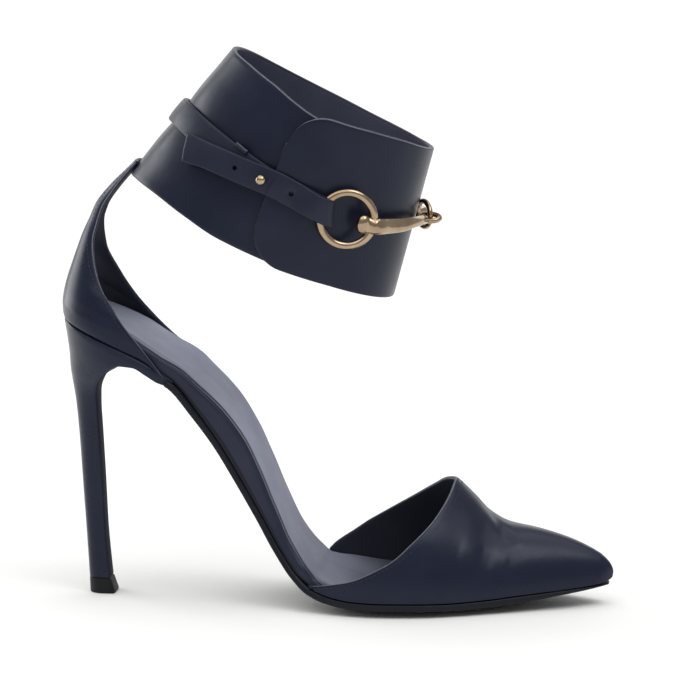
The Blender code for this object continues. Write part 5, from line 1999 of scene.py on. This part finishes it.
@dataclass
class Bit:
    """Two rings, two tapered halves with interlocked eyes, and the ball stud.

    Attributes:
        cuff: Band that it lies on.
        bar: Middle line, half height, half thickness and lift of a half, from the knob on.
        roll: Degrees by which the bar's face looks up.
        neck: Angle at which the knob ends.
        square: How square the bar's section is; 1 is round.
        eyes: Eye of each half.
        ring_radius: Radius of a ring.
        ring_wire: Radius of its wire.
        ring_angle: Angle of its centre.
        ring_face: Angle that it faces.
        ring_rise: Rise of its centre.
        ring_lift: Height of its centre.
        stud_ball: Radius of the ball stud.
        stud_stem: Radius of its stem.
    """

    cuff: Cuff
    bar: Chart = Chart("angle rise tall thick lift", (
        (123.7, 0.4505, 0.5, 0.4, 7.2), (123.95, 0.4515, 1.7, 1.2, 7.2), (124.5, 0.4536, 2.8, 1.9, 7.2),
        (125.3, 0.4568, 3.55, 2.4, 7.2), (126.4, 0.461, 3.95, 2.6, 7.2), (127.6, 0.463, 3.75, 2.5, 7.1),
        (128.6, 0.4645, 3.3, 2.5, 7.6), (129.4, 0.466, 3.1, 2.7, 8), (130.4, 0.468, 3.25, 3, 8.2),
        (132.1, 0.4722, 3.4, 3, 8.2), (134.5, 0.477, 3.35, 2.8, 7.7), (138, 0.4842, 3.2, 2.3, 6.7),
        (147.7, 0.5014, 2.75, 1.8, 5.2), (155.3, 0.5212, 2.25, 1.6, 4.8), (165.5, 0.5343, 1.95, 1.45, 4.4)))
    roll: float = 24.0
    neck: float = 129.4
    square: float = 0.74
    eyes: dict[Side, Eye] = field(default_factory=lambda: {
        Side.OUTER: Eye((37.4, -2.0, 156.94), (-0.9, -2.8, -0.9), (3.5, -1.05, -0.35)),
        Side.INNER: Eye((34.2, 4.0, 157.6), (-3.1, 6.0, 0.0), (0.0, 0.0, 5.2))})
    ring_radius: float = 10.6
    ring_wire: float = 1.6
    ring_angle: float = 120.3
    ring_face: float = 107.0
    ring_rise: float = 0.457
    ring_lift: float = 4.4
    stud_ball: float = 2.1
    stud_stem: float = 0.95
    # Sections of knob and bar, points of a section, sections from the bar to its eye.
    KNOB_COUNT, BAR_COUNT, AROUND, TAIL_COUNT = 30, 46, 36, 9
    # Steps along and round a ring's room and a ring; rings of the ball, points of the stud.
    ROOM_STEPS, RING_STEPS, BALL_COUNT, STUD_POINTS = (72, 16), (112, 24), 18, 32
    # Start of the bar past the neck, change of section, room for a ring, hard edges at the eye.
    PAST_NECK, TURN_IN, RING_SLACK, EYE_CRISP = 1.0, 3.0, 0.12, 70.0
    # Hard edges at the room, neck of the stud, rest of its stem, turn left open by the ball.
    ROOM_CRISP, STUD_NECK, STEM_REST, BALL_OPEN = 50.0, 1.6, 0.2, 0.03

    def ring_place(self, side: Side, shop: Shop) -> Matrix:
        """Placement of the ring on one side of the ankle."""
        angle, facing = side.value * self.ring_angle, side.value * self.ring_face
        point = self.cuff.point(angle, self.ring_rise, float(self.cuff.outside(angle)) + self.ring_lift)
        return frame_at(point, self.cuff.normal(facing, self.ring_rise), self.cuff.upward(angle), shop.origin)

    def room(self, side: Side, slack: float, shop: Shop, finishes: Finishes) -> Object:
        """Shape of a ring with some room round it, to be cut out.

        Args:
            side: Side of the ankle.
            slack: Room round the wire.
            shop: Where pieces are made.
            finishes: Materials of what it is cut out of.

        Returns:
            The shape in its place.
        """
        made = wire_ring("ring_room", self.ring_radius, self.ring_wire + slack, self.ROOM_STEPS, finishes)
        made.data.transform(self.ring_place(side, shop))
        return made

    def half(self, name: str, side: Side, shop: Shop) -> Object:
        """One half: knob, bar and eye.

        Args:
            name: Name of the piece.
            side: Side of the ankle.
            shop: Where pieces are made.

        Returns:
            The object.
        """
        first, last, begin = self.bar.rows[0][0], self.bar.rows[-1][0], self.neck + self.PAST_NECK
        angles = np.concatenate([np.linspace(first, begin, self.KNOB_COUNT),
                                 np.linspace(begin, last, self.BAR_COUNT)[1:]])
        rise, tall, thick, lift = (self.bar.read(n, angles) for n in ("rise", "tall", "thick", "lift"))
        turned_to = side.value * angles
        centre = self.cuff.point(turned_to, rise, self.cuff.outside(turned_to) + lift)
        out = self.cuff.normal(turned_to, rise)
        along = unit(np.gradient(centre, axis=0))
        up = unit(np.cross(along, out))
        up = up * np.sign(up[:, 2:])
        taken = ease((angles - self.neck) / self.TURN_IN)[:, None]
        lean = np.radians(self.roll) * taken
        up, out = up * np.cos(lean) - out * np.sin(lean), out * np.cos(lean) + up * np.sin(lean)
        power = 1.0 + (self.square - 1.0) * taken
        turn = circle(self.AROUND)
        tall_way = squared(np.cos(turn), power) * tall[:, None]
        thick_way = squared(np.sin(turn), power) * thick[:, None]
        rings = list(centre[:, None] + tall_way[..., None] * up[:, None]
                     + thick_way[..., None] * out[:, None])
        eye = self.eyes[side]
        tail, end = rings[-1] - centre[-1], eye.root
        for share in np.linspace(0.0, 1.0, self.TAIL_COUNT)[1:]:
            size = 1.0 + (eye.wire / self.bar.rows[-1][2] - 1.0) * share
            rings.append(centre[-1] + (end - centre[-1]) * share + tail * size)
        made = shop.make(Draft().loft(np.array(rings)), name, "gold")
        boolean(made, eye.loop(shop), "UNION", self.EYE_CRISP)
        room = self.room(side, self.RING_SLACK, shop, shop.wardrobe.set_of("gold"))
        boolean(made, room, "DIFFERENCE", self.ROOM_CRISP)
        return made

    def build(self, shop: Shop, straps: Straps) -> None:
        """Build and dress the metal.

        Args:
            shop: Where pieces are made.
            straps: Straps that carry the stud.
        """
        finish, slot = shop.wardrobe.set_of("gold"), "bit_metal"
        for label, side in (("near", Side.OUTER), ("far", Side.INNER)):
            ring = wire_ring(f"bit_ring_{label}", self.ring_radius, self.ring_wire, self.RING_STEPS, finish)
            ring.data.transform(self.ring_place(side, shop))
            settle(ring, slot, f"{label}_ring")
            settle(self.half(f"bit_half_{label}", side, shop), slot, f"{label}_bit")
        low = straps.thick + 2.0 * straps.fit
        high = low + straps.thick + self.STUD_NECK
        centre = high + math.sqrt(self.stud_ball ** 2 - self.stud_stem ** 2)
        start = math.asin(self.stud_stem / self.stud_ball)
        ball = [(self.stud_ball * math.sin(t), centre - self.stud_ball * math.cos(t))
                for t in np.linspace(start, math.pi - self.BALL_OPEN, self.BALL_COUNT)]
        stem = [(self.stud_stem, low), (self.stud_stem, high - self.STEM_REST)]
        stud = turned("ball_stud", stem + ball, self.STUD_POINTS, finish)
        stud.data.transform(straps.stud_place(straps.stud_angle, shop))
        settle(stud, slot, "stud")


@dataclass(frozen=True)
class Softbox:
    """Studio light that looks at the shoe.

    Attributes:
        name: Name of the light.
        place: Position in metres.
        size: Width and height in metres.
        power: Power in watts.
    """

    name: str
    place: Triple
    size: tuple[float, float]
    power: float


@dataclass
class Studio:
    """Pale floor, soft lights and the camera.

    Attributes:
        azimuth: Camera's turn round the shoe in degrees.
        elevation: Camera's height over the horizon in degrees.
        distance: Distance to the target in metres.
        target: Point in the middle of the picture.
        scale: Metres that a pixel covers at the target.
        pixels: Width of the picture in pixels.
        boxes: Soft lights.
        floor: Finish of the floor.
        sky: Strength of the even light from all round.
        sun: Strength of the wide overhead light.
        sun_spread: Its spread in degrees.
    """

    azimuth: float = 7.0
    elevation: float = 9.0
    distance: float = 1.6
    target: Triple = (0.0, 0.0018, 0.1069)
    scale: float = 0.000404
    pixels: int = 677
    boxes: tuple[Softbox, ...] = (
        Softbox("key_left", (-1.25, 0.55, 0.35), (0.8, 0.9), 8.3),
        Softbox("backdrop", (0.1, 4.2, 1.35), (6.6, 2.0), 40.0),
        Softbox("front_top", (0.75, -0.5, 1.35), (0.6, 0.8), 4.0))
    floor: Paper = Paper("pale_floor", (0.9, 0.9, 0.885), (0.91, 0.91, 0.895))
    sky: float = 0.4
    sun: float = 1.95
    sun_spread: float = 90.0
    # Places and tones in metres and shares, and the camera's sensor and sight.
    SUN_PLACE, SKY_TONE, EDGES = (0.0, -0.2, 1.6), (1.0, 1.0, 0.99, 1.0), (-9.0, 9.0, -9.0, 14.0)
    SENSOR, SIGHT = 36.0, 60.0

    def look_at(self, place: Vector, target: Vector) -> Matrix:
        """Placement of a light or camera that looks at a point."""
        turn = (target - place).to_track_quat("-Z", "Y").to_matrix().to_4x4()
        return Matrix.Translation(place) @ turn

    def ground(self) -> None:
        """Lay the floor."""
        left, right, front, back = self.EDGES
        mesh = bpy.data.meshes.new("studio_floor")
        corners = [(left, front, 0.0), (right, front, 0.0), (right, back, 0.0), (left, back, 0.0)]
        mesh.from_pydata(corners, [], [(0, 1, 2, 3)])
        mesh.materials.append(self.floor.material())
        stand("studio_floor", mesh)

    def lights(self) -> None:
        """Set up the soft lights, the overhead light and the sky."""
        for box in self.boxes:
            light = bpy.data.lights.new(box.name, "AREA")
            light.shape, light.size, light.size_y = "RECTANGLE", *box.size
            light.energy = box.power
            stand(box.name, light).matrix_world = self.look_at(Vector(box.place), Vector(self.target))
        overhead = bpy.data.lights.new("overhead", "SUN")
        overhead.energy, overhead.angle = self.sun, math.radians(self.sun_spread)
        stand("overhead", overhead).matrix_world = self.look_at(Vector(self.SUN_PLACE), Vector())
        world = bpy.data.worlds.new("studio_sky")
        world.use_nodes = True
        sky = world.node_tree.nodes["Background"].inputs
        sky["Color"].default_value = self.SKY_TONE
        sky["Strength"].default_value = self.sky
        bpy.context.scene.world = world

    def build(self) -> None:
        """Set up floor, lights, sky and camera."""
        scene = bpy.context.scene
        self.ground()
        self.lights()
        scene.view_settings.view_transform = "Standard"
        lens = bpy.data.cameras.new("photo_camera")
        lens.sensor_width = self.SENSOR
        lens.lens = self.SENSOR * self.distance / self.scale / self.pixels
        lens.clip_end = self.SIGHT
        camera, target = stand("photo_camera", lens), Vector(self.target)
        turn, rise = math.radians(self.azimuth), math.radians(self.elevation)
        ahead = Vector((-math.sin(turn) * math.cos(rise), math.cos(turn) * math.cos(rise), -math.sin(rise)))
        camera.matrix_world = self.look_at(target - ahead * self.distance, target)
        scene.camera = camera


def main() -> None:
    """Build the pieces in order and note the sizes."""
    logging.basicConfig(level=logging.INFO, format="%(message)s")
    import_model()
    pad_low, pad_high = (np.array(corner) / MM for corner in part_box("top_lift"))
    heel, last, cuff = Heel(), Last(), Cuff()
    back = pad_low[0] - heel.lift.column("back").min()
    shop = Shop(np.array([back, 0.5 * (pad_low[1] + pad_high[1]), 0.0]))
    straps, bit = Straps(cuff), Bit(cuff)
    for piece in (Bottom(last), Vamp(last), Counter(), heel, cuff):
        piece.build(shop)
    straps.build(shop, bit)
    bit.build(shop, straps)
    Studio().build()


if __name__ == "__main__":
    main()
